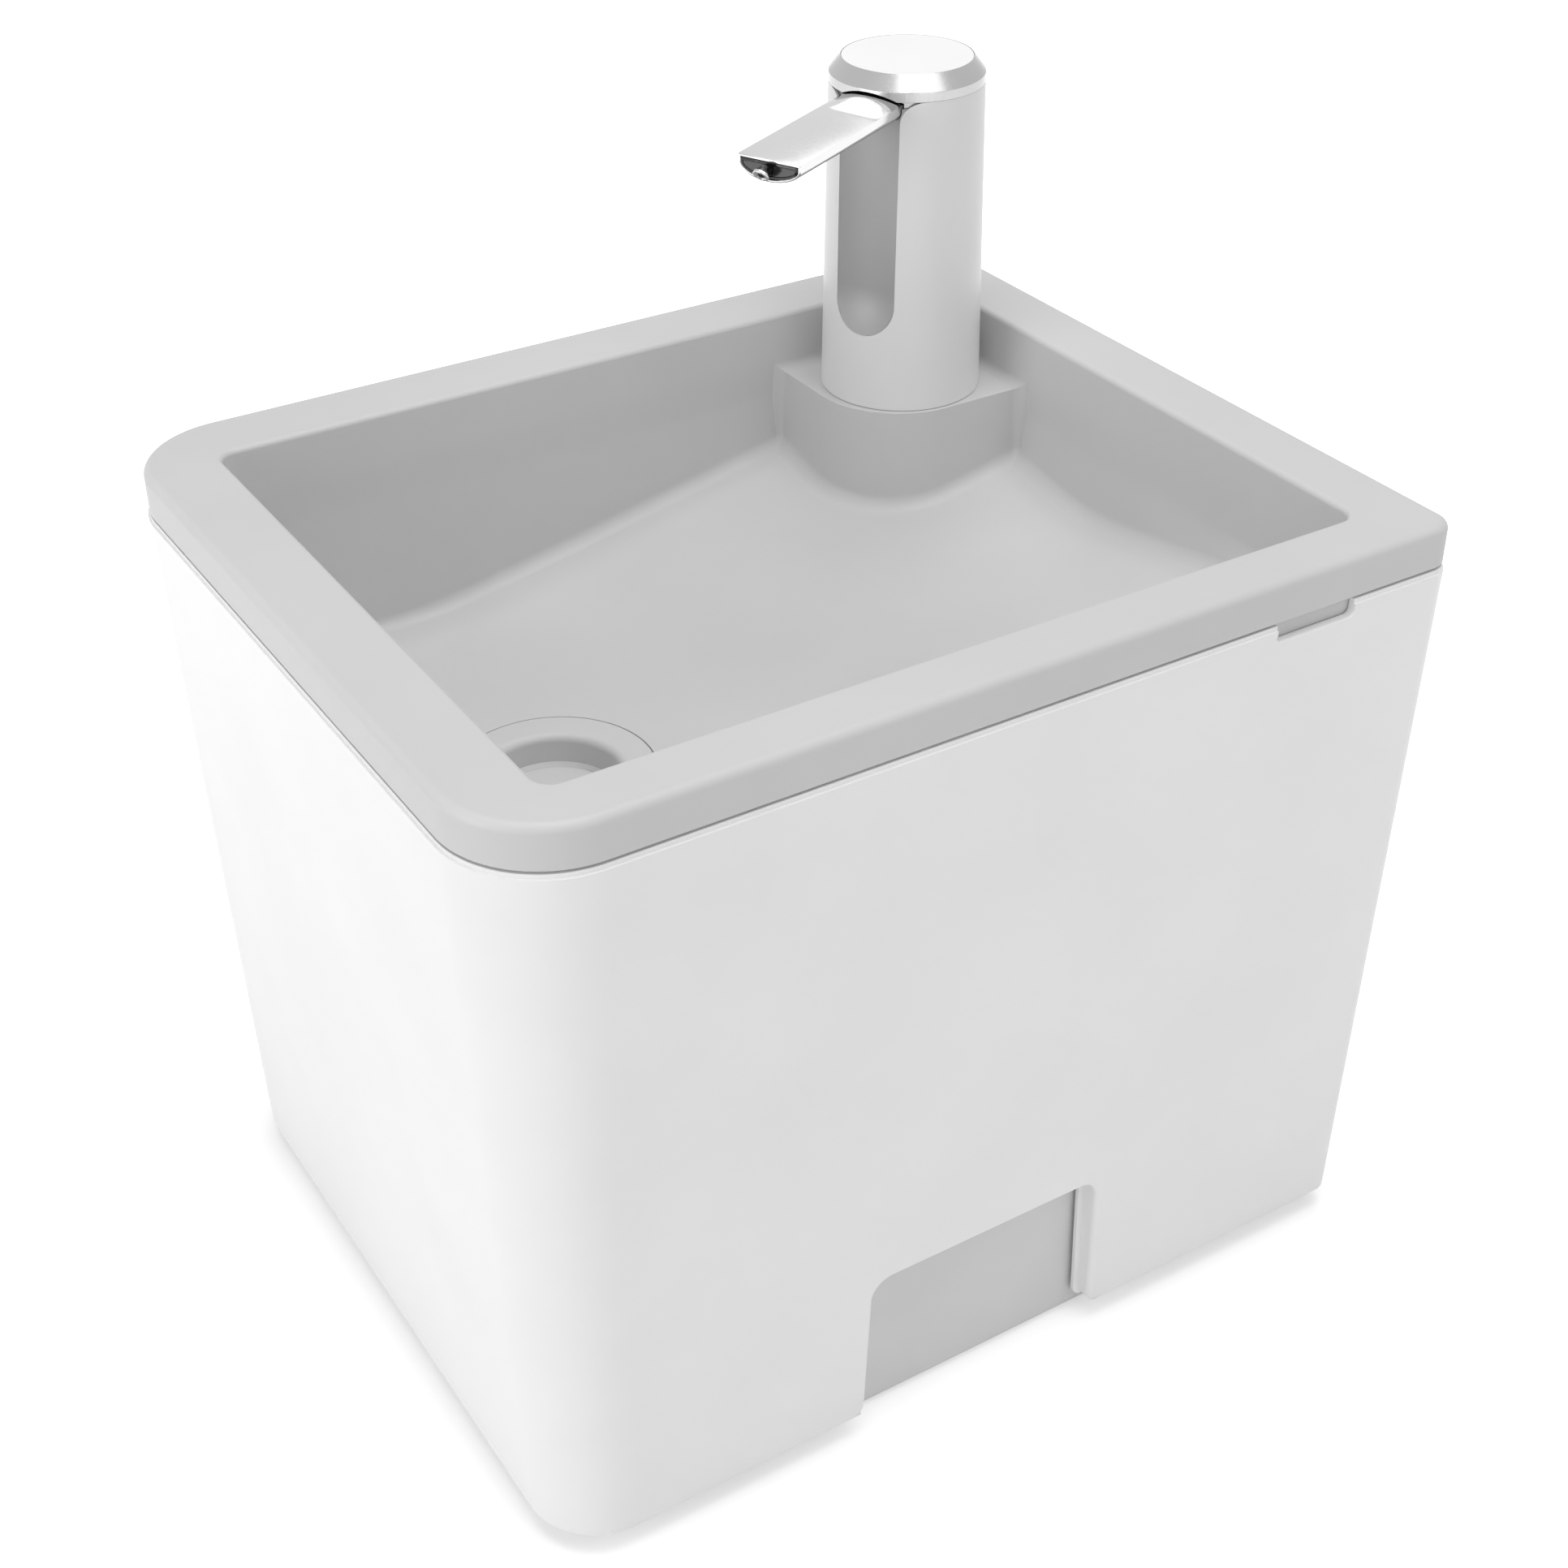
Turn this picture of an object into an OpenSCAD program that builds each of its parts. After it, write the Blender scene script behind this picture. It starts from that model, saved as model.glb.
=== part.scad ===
// Free-standing wash basin with a sensor tap, a lift-off cover and two water tanks.
// Origin: on the ground, under the centre of the body. X across, Y front to back, Z up.
// The front is at -Y, and the tap stands in the back left corner.

/* [Body] */
// Width of the cover at its top edge
body_w = 300; // [292:1:320]
// Depth of the cover at its top edge, front to back
body_d = 358.5; // [352:0.5:380]
// Height of the cover
shell_h = 284; // [276:1:310]
// Wall of the cover
shell_wall = 3; // [2.6:0.1:3.2]
// Height of the cover's lower edge above the ground
shell_gap = 10; // [8:0.5:14]
// How far each side wall leans in from top to bottom
side_draft = 7.8; // [6:0.1:8.5]
// How far the front wall leans in from top to bottom
front_draft = 9.8; // [6:0.1:10.5]
// How far the back wall leans in from top to bottom
back_draft = 3.2; // [2:0.1:4]
// Corner radius at the front, at the top of the cover
front_r = 36.5; // [30:0.5:45]
// Corner radius at the back, at the top of the cover
back_r = 9.5; // [9:0.5:14]

/* [Grip notch] */
// Width of the notch at the lower edge of the right wall
notch_w = 101; // [80:1:120]
// Height of the notch
notch_h = 64.5; // [50:0.5:75]
// Corner radius at the top of the notch
notch_r = 8; // [4:0.5:14]
// Depth of the frame that lines the notch
notch_depth = 7.6; // [6:0.2:8]
// Place of the notch's centre along the wall
notch_y = 2.5; // [-20:0.5:20]
// Width of the finger slot under the rim
slot_w = 33; // [24:1:44]
// Height of the finger slot
slot_h = 6; // [5:0.5:8]
// Place of the finger slot's centre along the wall
slot_y = 117.5; // [90:0.5:130]

/* [Basin] */
// Height of the rim's side
lid_h = 16; // [13:0.5:20]
// Wall of the basin moulding
basin_wall = 2.5; // [2:0.1:2.8]
// Width of the rim left of the bowl
rim_left = 28; // [26:0.5:32]
// Width of the rim right of the bowl
rim_right = 22; // [20:0.5:30]
// Width of the rim in front of the bowl
rim_front = 27.5; // [24:0.5:34]
// Width of the rim behind the bowl
rim_back = 26; // [24:0.5:32]
// Depth of the bowl at the drain
bowl_depth = 88.5; // [84:0.5:92]
// Depth of the tap's step below the rim
step_drop = 23; // [18:0.5:26]
// Rise of the floor for each millimetre away from the valley, to either side
rise_side = 0.19; // [0.14:0.01:0.2]
// Rise of the floor for each millimetre towards the back
rise_back = 0.225; // [0.18:0.005:0.23]

/* [Drain] */
// Distance of the drain in front of the centre
drain_front = 87; // [82:1:95]
// Radius of the drain's flange
flange_r = 36; // [34:0.5:38]
// Radius of the drain's bore
drain_r = 23.5; // [22:0.5:24.5]
// Depth of the plug's top below the floor
plug_drop = 12; // [11:0.5:13]
// Travel of the plug from shut to open
plug_travel = 8; // [5:0.5:9]

/* [Tap] */
// Height of the tap above its seal
tap_h = 127; // [122:1:140]
// Radius of the sleeve at the bottom
tap_r = 31; // [30.5:0.1:32]
// How much the sleeve's radius shrinks towards the top
tap_taper = 2; // [1.5:0.1:2.5]
// Distance of the tap's axis from the left wall of the bowl
tap_from_left = 33.25; // [32.5:0.25:38]
// Distance of the tap's axis from the back wall of the bowl
tap_from_back = 36; // [33:0.25:40]
// Direction of the spout seen from above
tap_dir = -64.5; // [-75:0.5:-50]
// Reach of the spout from the tap's axis to its front corners
spout_reach = 93.5; // [85:0.5:100]
// Width of the spout
spout_w = 25.4; // [24:0.2:26]
// Travel of the button on top
button_travel = 1.2; // [0.8:0.1:1.5]

/* [Tanks] */
// Height of the waste tank's wall
waste_h = 186; // [176:1:188]
// Wall of the waste tank
waste_wall = 3; // [2.5:0.1:3.5]
// Height of the fresh tank without its neck
fresh_h = 160; // [140:1:164]
// Wall of the fresh tank
fresh_wall = 2.5; // [2:0.1:3]
// Outer radius of the filling neck
neck_r = 20; // [18:0.5:21]

/* [Hidden] */
$fn = 96;

// Overrun of every cut, the gap beside parts that lift out, and that round parts that turn
over = 1;
slip = 0.3;
running = 0.06;

// Points on a quarter turn of the large, small and joining corners
steps_large = 9;
steps_small = 6;
steps_join = 4;

// Cover: edge rounding and the ribs that stand on the waste tank
edge_r = 1.2;
rib_t = 2;
rib_h = 26;
rib_x_share = 0.2;
rib_y_share = 0.3;

// Grip notch and finger slot
notch_lean = 1.8;
notch_flare = 4.5;
frame_wall = 2;
lip_w = 2.4;
lip_t = 1.6;
slot_r = 2.4;
cut_end_r = 0.2;

// Rim, bowl and floor
lid_inset = 0.75;
rim_r = 3.5;
mouth_r = 3.5;
bowl_r = 6.5;
least_r = 0.3;
join_r = 5.5;
bowl_draft = 2.5;
fillet_r = 4.5;
step_fillet_r = 3.5;
fillet_share = 0.8;
skirt_h = 9;
skirt_wall = 2.2;
step_r = 34;
step_lap = 6;
rise_y = 18;
valley_x = -11;
valley_w = 22;
floor_blend = 3;
drain_flat_r = 45;

// Drain, from the floor down
flange_t = 3;
drain_lip_r = 4;
drain_wall = 3.5;
drain_len = 36;
seat_w = 4;
seat_t = 2.5;
spider_t = 4;
spider_w = 3;
hub_r = 6;
stem_r = 3;
stem_len = 24;
plug_t = 3;
plug_chamfer = 2.5;
plug_seal_t = 1;
plug_seal_w = 2.5;
gasket_t = 2;
gasket_w = 7;
nut_h = 9;
nut_w = 6;
nut_lugs = 8;
lug_r = 3;
pipe_wall = 2;
pipe_len = 26;
pipe_grip = 8;

// Tap housing, from the step up
seal_t = 1;
seal_inset = 3;
base_t = 4;
shank_r = 12;
shank_len = 24;
tube_r = 4;
sleeve_wall = 1.2;
core_gap = 0.1;
band_drop = 5.5;
sleeve_drop = 9;
cap_top_r = 24.6;
button_r = 24.4;
button_t = 2.4;
cap_web_t = 2.4;
front_slot_w = 25;
front_slot_z = 28;
flare_r = 8;
groove_floor = 23.2;
groove_w = 25.8;
core_bore_r = 20.5;

// Spout, whose root is arched and whose tip is nearly flat
spout_drop = 10;
spout_fall = 2;
spout_root = 21.2;
spout_side_h = 2.6;
spout_h = 8.4;
root_arch = 3.4;
tip_arch = 0.5;
arch_end_share = 0.3;
tip_bow = 3.6;
bow_start_share = 0.85;
spout_steps = 12;
window_t = 1.2;
window_rim = 1.1;
window_gap = 0.1;
nozzle_r = 2.7;
nozzle_len = 8;
nozzle_out = 1.8;
nozzle_drop = 5;
outlet_tilt = 3;
outlet_r = 2;
outlet_wall = 0.6;

// Inside of the tap
battery_r = 9.1;
battery_h = 65;
battery_off = 10.6;
motor_r = 8.6;
motor_h = 34;
head_h = 18;
chassis_t = 2;
board_r = 19;
board_t = 1.6;
board_drop = 21;
pad_r = 5;
pad_h = 3;
plunger_r = 3;
outlet_x = 14;
washer_t = 2;
washer_w = 9;
lock_nut_w = 8;
lock_nut_h = 8;
lock_wings = 6;
wing_r = 2.5;

// Charging socket and its flap at the back of the tap
port_z = 32;
flap_w = 15;
flap_h = 9;
flap_t = 1.1;
knuckle_r = 0.7;
knuckle_w = 8;
flap_gap = 0.35;
port_sink = 0.7;
socket_w = 9;
socket_h = 3.4;
socket_t = 0.6;

// Tanks
foot_proud = 1;
foot_r = 9;
foot_sink = 1.2;
foot_inset = 26;
waste_gap_side = 1.4;
waste_gap_end = 6;
waste_lean = 0.6;
waste_front_r = 24;
waste_back_r = 12;
waste_edge_r = 4;
divider_y = -8;
divider_h = 120;
fresh_gap = 5;
fresh_r = 14;
fresh_edge_r = 6;
neck_h = 15;
neck_wall = 3;
cap_skirt_h = 12;
cap_top_t = 3;
cap_wall = 3;
cap_hole_r = 6;
cap_ribs = 18;
cap_rib_r = 1.2;
cap_seal_t = 1.5;
filter_h = 22;
filter_r = 5;
filter_gap = 30;

// Levels of the body
shell_top = shell_gap + shell_h;
lid_top = shell_top + lid_h;
floor_z = lid_top - bowl_depth;
step_z = lid_top - step_drop;
shell_foot_x = body_w / 2 - side_draft;

// Walls of the bowl at the rim, and the axis of the tap
lid_x = body_w / 2 - lid_inset;
lid_y = body_d / 2 - lid_inset;
bowl_x0 = -lid_x + rim_left;
bowl_x1 = lid_x - rim_right;
bowl_y0 = -lid_y + rim_front;
bowl_y1 = lid_y - rim_back;
tap_x = bowl_x0 + tap_from_left;
tap_y = bowl_y1 - tap_from_back;
step_x = tap_x + step_r;
step_y = tap_y - step_r;
step_draft = bowl_draft * step_drop / bowl_depth;

// Waste tank and fresh tank
waste_z = foot_proud;
waste_x = shell_foot_x - notch_depth - waste_gap_side;
waste_y0 = -body_d / 2 + front_draft + shell_wall + waste_gap_end;
waste_y1 = body_d / 2 - back_draft - shell_wall - waste_gap_end;
waste_floor = waste_z + waste_wall;
waste_top = waste_z + waste_h;
fresh_z = waste_floor;
fresh_top = fresh_z + fresh_h;
fresh_x = waste_x - waste_lean - waste_wall - fresh_gap;
fresh_y0 = divider_y + waste_wall + fresh_gap;
fresh_y1 = waste_y1 - waste_lean - waste_wall - fresh_gap;
neck_top = fresh_top + neck_h;
cap_z = neck_top + cap_seal_t;
filter_z = waste_floor + filter_gap;

// Drain levels
drain_out_r = drain_r + drain_wall;
drain_bottom = floor_z - drain_len;
plug_z = floor_z - plug_drop;
plug_r = drain_r - slip;
seat_z = plug_z - plug_t - plug_seal_t;
seat_r = drain_r - seat_w;
spider_z = seat_z - seat_t / 2 - spider_t;
nut_z = floor_z - flange_t - basin_wall - gasket_t - nut_h;
pipe_z = drain_bottom + pipe_grip - pipe_len;

// Tap levels and radii
tap_z = step_z + seal_t;
tap_top = tap_z + tap_h;
sleeve_top = tap_top - sleeve_drop;
sleeve_top_r = tap_r - tap_taper;
core_r = tap_r - sleeve_wall - core_gap;
core_top_r = sleeve_top_r - sleeve_wall - core_gap;
core_z = tap_z + base_t;
core_top = sleeve_top - cap_web_t;
shelf_z = core_z + chassis_t;
board_z = tap_top - board_drop;
web_top = tap_top - button_t - button_travel - slip;
web_z = web_top - cap_web_t;
spout_z = tap_top - spout_drop;
nozzle_x = spout_reach + tip_bow + nozzle_out;
nozzle_z = spout_z - spout_fall - nozzle_drop;

// Blend between two values or points
function mix(a, b, t) = a + (b - a) * t;

// Unit vector from a to b
function toward(a, b) = (b - a) / norm(b - a);

// Round corner at b between the legs to a and c, as n points
function corner(a, b, c, r, n) =
    let (
        u = toward(b, a),
        v = toward(b, c),
        half = acos(u * v) / 2,
        centre = b + toward([0, 0], u + v) * r / sin(half),
        s = (b + u * r / tan(half) - centre) / r,
        e = (b + v * r / tan(half) - centre) / r,
        sweep = 180 - 2 * half
    )
    [for (k = [0 : n - 1])
        let (t = k / (n - 1))
        centre + r * (sin((1 - t) * sweep) * s + sin(t * sweep) * e) / sin(sweep)];

// Closed outline through round corners, with extra points along each straight side
function outline(verts, radii, counts, extras) =
    let (
        m = len(verts),
        arcs = [for (i = [0 : m - 1])
            corner(verts[(i + m - 1) % m], verts[i], verts[(i + 1) % m], radii[i], counts[i])]
    )
    [for (i = [0 : m - 1]) each concat(arcs[i], between(arcs[i][counts[i] - 1], arcs[(i + 1) % m][0], extras[i]))];

// Count points evenly spread between a and b, without the ends
function between(a, b, count) = [for (k = [1 : 1 : count]) mix(a, b, k / (count + 1))];

// Rectangle with its front and back corner radii
function box_ring(x0, x1, y0, y1, rf, rb) = outline(
    [[x0, y0], [x1, y0], [x1, y1], [x0, y1]], [rf, rf, rb, rb],
    [steps_large, steps_large, steps_small, steps_small], [0, 0, 0, 0]);

// Lifts a flat ring to a level
function at_z(ring, z) = [for (p = ring) [p.x, p.y, z]];

// Circle round c with one point in the direction of each point of a ring
function round_ring(c, r, ring) = [for (p = ring) c + toward(c, [p.x, p.y]) * r];

// Solid between rings that have the same number of points. Looped rings close on themselves.
// Ends that aren't flat are made of strips, across the ring from each point to its partner.
module ring_loft(rings, looped = false, strips = false) {
    n = len(rings[0]);
    m = len(rings);
    points = [for (ring = rings) each ring];
    sides = [for (k = [0 : (looped ? m : m - 1) - 1], i = [0 : n - 1])
        let (
            a = k * n + i,
            b = k * n + (i + 1) % n,
            c = ((k + 1) % m) * n + (i + 1) % n,
            d = ((k + 1) % m) * n + i
        )
        each norm(points[a] - points[c]) < norm(points[b] - points[d])
            ? [[a, c, b], [a, d, c]] : [[a, d, b], [b, d, c]]];
    top = (m - 1) * n;
    ends = strips
        ? [for (i = [0 : n / 2 - 2]) each [[i, i + 1, n - 2 - i, n - 1 - i],
            [top + n - 1 - i, top + n - 2 - i, top + i + 1, top + i]]]
        : [[for (i = [0 : n - 1]) i], [for (i = [n - 1 : -1 : 0]) top + i]];
    polyhedron(points = points, faces = looped ? sides : concat(sides, ends));
}

// Straight run of a profile drawn in Y and Z, from x0 to x1
module along_x(x0, x1, y = 0) {
    translate([x0, y, 0]) rotate([90, 0, 90]) linear_extrude(x1 - x0) children();
}

// Tube with its lower end at z
module tube(z, h, outer, inner) {
    translate([0, 0, z]) difference() {
        cylinder(h = h, r = outer);
        translate([0, 0, -over]) cylinder(h = h + 2 * over, r = inner);
    }
}

// Outline of the cover at a level, moved inwards by inset
function shell_ring(z, inset) =
    let (t = (shell_top - z) / shell_h)
    at_z(box_ring(
        -body_w / 2 + side_draft * t + inset, body_w / 2 - side_draft * t - inset,
        -body_d / 2 + front_draft * t + inset, body_d / 2 - back_draft * t - inset,
        front_r - front_draft * t - inset, back_r - back_draft * t / 2 - inset), z);

function notch_outline(grow) =
    let (
        half = notch_w / 2 + grow,
        spread = half + 3 * notch_flare,
        low = shell_gap - over,
        top = shell_gap + notch_h + grow
    )
    outline(
        [[-spread, low], [-half, shell_gap], [-half + notch_lean, top],
         [half - notch_lean, top], [half, shell_gap], [spread, low]],
        [cut_end_r, notch_flare, notch_r + grow, notch_r + grow, notch_flare, cut_end_r],
        [2, steps_small, steps_small, steps_small, steps_small, 2], [0, 0, 0, 0, 0, 0]);

// Frame that lines the notch, with a lip at its inner end
module notch_frame() {
    x0 = shell_foot_x - notch_depth;
    x1 = shell_foot_x - shell_wall / 5;
    difference() {
        along_x(x0, x1, notch_y) polygon(notch_outline(frame_wall));
        along_x(x0 + lip_t, x1 + over, notch_y) polygon(notch_outline(0));
        along_x(x0 - over, x1, notch_y) polygon(notch_outline(-lip_w));
        translate([0, 0, shell_gap - body_w]) cube(2 * body_w, center = true);
    }
}

// Ribs inside the cover that stand on the waste tank's rim
module support_ribs() {
    t = (shell_top - waste_top - rib_h / 2) / shell_h;
    side = body_w / 2 - side_draft * t - shell_wall / 2;
    front = body_d / 2 - front_draft * t - shell_wall / 2;
    back = body_d / 2 - back_draft * t - shell_wall / 2;
    for (s = [0, 1], y = [-rib_y_share, rib_y_share] * body_d)
        mirror([s, 0, 0]) translate([waste_x - waste_wall, y - rib_t / 2, waste_top])
            cube([side - waste_x + waste_wall, rib_t, rib_h]);
    for (x = [-rib_x_share, rib_x_share] * body_w) {
        translate([x - rib_t / 2, -front, waste_top])
            cube([rib_t, front + waste_y0 + waste_wall, rib_h]);
        translate([x - rib_t / 2, waste_y1 - waste_wall, waste_top])
            cube([rib_t, back - waste_y1 + waste_wall, rib_h]);
    }
}

module outer_shell() {
    color("white") difference() {
        union() {
            ring_loft([
                shell_ring(shell_gap, edge_r / 2),
                shell_ring(shell_gap + edge_r / 2, 0),
                for (a = [0 : 30 : 90])
                    shell_ring(shell_top - edge_r * (1 - sin(a)), edge_r * (1 - cos(a))),
                shell_ring(shell_top, shell_wall),
                shell_ring(shell_gap, shell_wall)
            ], looped = true);
            notch_frame();
            support_ribs();
        }
        along_x(shell_foot_x - shell_wall - over, body_w / 2 + over, notch_y)
            polygon(notch_outline(0));
        along_x(body_w / 2 - shell_wall - over, body_w / 2 + over, slot_y)
            polygon(outline(
                [[-slot_w / 2, shell_top + over], [-slot_w / 2, shell_top - slot_h],
                 [slot_w / 2, shell_top - slot_h], [slot_w / 2, shell_top + over]],
                [cut_end_r, slot_r, slot_r, cut_end_r], [2, steps_small, steps_small, 2], [0, 0, 0, 0]));
    }
}

// Height of the bowl's floor: flat at the drain, then two ramps that meet in a valley
function floor_at(p) =
    let (
        side = sqrt((p.x - valley_x) ^ 2 + valley_w ^ 2) - valley_w,
        s = rise_side * side + rise_back * (p.y - rise_y),
        rise = s < -floor_blend ? 0 : s > floor_blend ? s : (s + floor_blend) ^ 2 / (4 * floor_blend)
    )
    floor_z + rise;

// Corners of a bowl ring in turn: two at the front, one at the back right, then the joint of the
// step with the back wall, the step's own corner and the joint with the left wall.
bowl_counts = [steps_large, steps_large, steps_small, steps_join, steps_large, steps_join];
bowl_extras = [3, 9, 6, 0, 0, 7];
step_first = 2 * steps_large + steps_small + bowl_extras[0] + bowl_extras[1] + bowl_extras[2];
step_last = step_first + 2 * steps_join + steps_large - 1;

// Bowl outline beside the step, moved into the bowl by d
function low_ring(d) =
    let (
        x0 = bowl_x0 + d, x1 = bowl_x1 - d, y0 = bowl_y0 + d, y1 = bowl_y1 - d,
        sx = step_x + d, sy = step_y - d, r = max(least_r, bowl_r - d), j = max(least_r, join_r - d)
    )
    outline([[x0, y0], [x1, y0], [x1, y1], [sx, y1], [sx, sy], [x0, sy]],
        [r, r, r, j, step_r + d, j], bowl_counts, bowl_extras);

// Rectangle with as many points as a bowl ring, in the same order
function full_ring(x0, x1, y0, y1, rf, rb) =
    let (
        fl = corner([x0, y1], [x0, y0], [x1, y0], rf, steps_large),
        fr = corner([x0, y0], [x1, y0], [x1, y1], rf, steps_large),
        br = corner([x1, y0], [x1, y1], [x0, y1], rb, steps_small),
        bl = corner([x1, y1], [x0, y1], [x0, y0], rb, steps_large),
        turn = 90 / (steps_join - 1),
        back = [for (k = [0 : steps_join - 1]) [step_x + join_r * (1 - sin(k * turn)), y1]],
        left = [for (k = [0 : steps_join - 1]) [x0, step_y - join_r * (1 - cos(k * turn))]]
    )
    concat(
        fl, between(fl[steps_large - 1], fr[0], bowl_extras[0]),
        fr, between(fr[steps_large - 1], br[0], bowl_extras[1]),
        br, between(br[steps_small - 1], back[0], bowl_extras[2]),
        back, bl, left, between(left[steps_join - 1], fl[0], bowl_extras[5]));

function high_ring(d) = full_ring(
    bowl_x0 + d, bowl_x1 - d, bowl_y0 + d, bowl_y1 - d, bowl_r - d, bowl_r - d);

function lid_ring(inset, z) = at_z(full_ring(
    -lid_x + inset, lid_x - inset, -lid_y + inset, lid_y - inset,
    front_r - lid_inset - inset, back_r - lid_inset - inset), z);

// Fillet between floor and wall: at angle 0 it lies on the floor, at 90 on the wall
function floor_fillet(a, wall) =
    let (r = fillet_r + wall)
    [for (p = low_ring(bowl_draft - wall + r * (1 - sin(a))))
        [p.x, p.y, floor_at(p) - wall + r * (1 - cos(a))]];

// Ring on the floor, from the flat round the drain at 0 to the fillet at 1
function floor_ring(t, wall) =
    let (edge = low_ring(bowl_draft + fillet_r), flat = round_ring([0, -drain_front], drain_flat_r, edge))
    [for (i = [0 : len(edge) - 1])
        let (p = mix(flat[i], edge[i], t)) [p.x, p.y, floor_at(p) - wall]];

// Ring where the step's edge meets the bowl, whose other points run on down the walls
function step_edge(wall) =
    let (ring = low_ring(step_draft - wall))
    [for (i = [0 : len(ring) - 1])
        [ring[i].x, ring[i].y, step_z - wall - (over_step(i) ? 0 : step_lap)]];

// Fillet between the step and the walls behind it: at angle 0 on the step, at 90 on the wall.
// It shrinks where the step's edge comes near the wall.
function step_fillet(a) =
    let (
        wall = high_ring(step_draft),
        inner = high_ring(step_draft + step_fillet_r),
        edge = low_ring(step_draft)
    )
    [for (i = [0 : len(wall) - 1])
        let (
            size = over_step(i) ? min(1, fillet_share * norm(edge[i] - wall[i]) / step_fillet_r) : 0,
            p = mix(wall[i], inner[i], size * (1 - sin(a)))
        )
        [p.x, p.y, step_z + (over_step(i) ? size : 1) * step_fillet_r * (1 - cos(a))]];

function over_step(i) = i > step_first && i < step_last;

// Underside from the drain outwards, up to the rim, down its skirt, then over the top and back
function basin_rings() =
    let (
        skirt = shell_wall - lid_inset + slip,
        under = lid_top - basin_wall
    )
    [
        for (t = [0, 0.3, 0.65]) floor_ring(t, basin_wall),
        for (a = [0, 45, 90]) floor_fillet(a, basin_wall),
        step_edge(basin_wall),
        at_z(high_ring(step_draft - basin_wall), step_z - basin_wall),
        at_z(high_ring(-basin_wall), under),
        lid_ring(skirt + skirt_wall, under),
        lid_ring(skirt + skirt_wall, shell_top - skirt_h),
        lid_ring(skirt + slip, shell_top - skirt_h),
        lid_ring(skirt, shell_top),
        lid_ring(slip, shell_top),
        lid_ring(0, shell_top + slip),
        for (a = [0 : 22.5 : 90]) lid_ring(rim_r * (1 - cos(a)), lid_top - rim_r * (1 - sin(a))),
        for (a = [90 : -22.5 : 0])
            at_z(high_ring(-mouth_r * (1 - cos(a))), lid_top - mouth_r * (1 - sin(a))),
        for (a = [90 : -30 : 0]) step_fillet(a),
        step_edge(0),
        for (a = [90 : -22.5 : 0]) floor_fillet(a, 0),
        for (t = [0.85, 0.65, 0.45, 0.25, 0]) floor_ring(t, 0)
    ];

module basin() {
    seat_out = flange_r + slip + basin_wall;
    color("gainsboro") difference() {
        union() {
            ring_loft(basin_rings());
            translate([0, -drain_front, floor_z - flange_t - basin_wall])
                cylinder(h = flange_t + basin_wall / 2, r = seat_out);
        }
        translate([0, -drain_front, floor_z - flange_t])
            cylinder(h = flange_t + over, r = flange_r + slip);
        translate([0, -drain_front, floor_z - flange_t - basin_wall - over])
            cylinder(h = flange_t + basin_wall + 2 * over, r = drain_out_r + slip);
        translate([tap_x, tap_y, step_z - basin_wall - over])
            cylinder(h = basin_wall + 2 * over, r = shank_r + running);
    }
}

// Moves the drain's pieces from its own axis to their place
module at_drain() {
    translate([0, -drain_front, 0]) children();
}

module drain_body() {
    color("gainsboro") at_drain() difference() {
        union() {
            rotate_extrude() polygon(concat(
                [[seat_r, seat_z - seat_t], [seat_r, seat_z], [drain_r, seat_z]],
                [for (a = [0 : 15 : 90])
                    [drain_r + drain_lip_r * (1 - cos(a)), floor_z - drain_lip_r * (1 - sin(a))]],
                [[flange_r, floor_z], [flange_r, floor_z - flange_t],
                 [drain_out_r, floor_z - flange_t], [drain_out_r, drain_bottom],
                 [drain_r, drain_bottom], [drain_r, seat_z - seat_t]]));
            translate([0, 0, spider_z]) cylinder(h = spider_t, r = hub_r);
            for (a = [30 : 60 : 150])
                translate([0, 0, spider_z + spider_t / 2]) rotate([0, 0, a])
                    cube([2 * drain_r + drain_wall, spider_w, spider_t], center = true);
        }
        translate([0, 0, spider_z - over]) cylinder(h = spider_t + 2 * over, r = stem_r + running);
    }
}

module drain_gasket() {
    color("dimgray") at_drain() tube(floor_z - flange_t - basin_wall - gasket_t, gasket_t,
        drain_out_r + gasket_w, drain_out_r + running);
}

module drain_nut() {
    color("whitesmoke") at_drain() difference() {
        union() {
            translate([0, 0, nut_z]) cylinder(h = nut_h, r = drain_out_r + nut_w);
            for (k = [0 : nut_lugs - 1])
                rotate([0, 0, 360 * k / nut_lugs]) translate([drain_out_r + nut_w, 0, nut_z])
                    cylinder(h = nut_h, r = lug_r);
        }
        translate([0, 0, nut_z - over]) cylinder(h = nut_h + 2 * over, r = drain_out_r + running);
    }
}

// Pipe pushed over the lower end of the drain body, with a stop inside
module tailpipe() {
    outer = drain_out_r + running + pipe_wall;
    color("whitesmoke") at_drain() union() {
        tube(pipe_z, pipe_len, outer, drain_out_r + running);
        tube(pipe_z, pipe_len - pipe_grip, outer - pipe_wall / 2, drain_r);
    }
}

module plug_disc() {
    color("gainsboro") at_drain() translate([0, 0, plug_z - plug_t]) union() {
        cylinder(h = plug_t - plug_chamfer, r = plug_r);
        translate([0, 0, plug_t - plug_chamfer])
            cylinder(h = plug_chamfer, r1 = plug_r, r2 = plug_r - plug_chamfer);
    }
}

module plug_seal() {
    color("dimgray") at_drain()
        tube(seat_z, plug_seal_t, seat_r + plug_seal_w, seat_r + running);
}

module plug_stem() {
    color("whitesmoke") at_drain() translate([0, 0, plug_z - plug_t - stem_len])
        cylinder(h = stem_len, r = stem_r);
}

// Moves the tap's pieces from its own axis, with the spout along X, to their place
module at_tap() {
    translate([tap_x, tap_y, 0]) rotate([0, 0, tap_dir]) children();
}

module tap_seal() {
    color("dimgray") at_tap() tube(step_z, seal_t, tap_r - seal_inset, shank_r + running);
}

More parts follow.
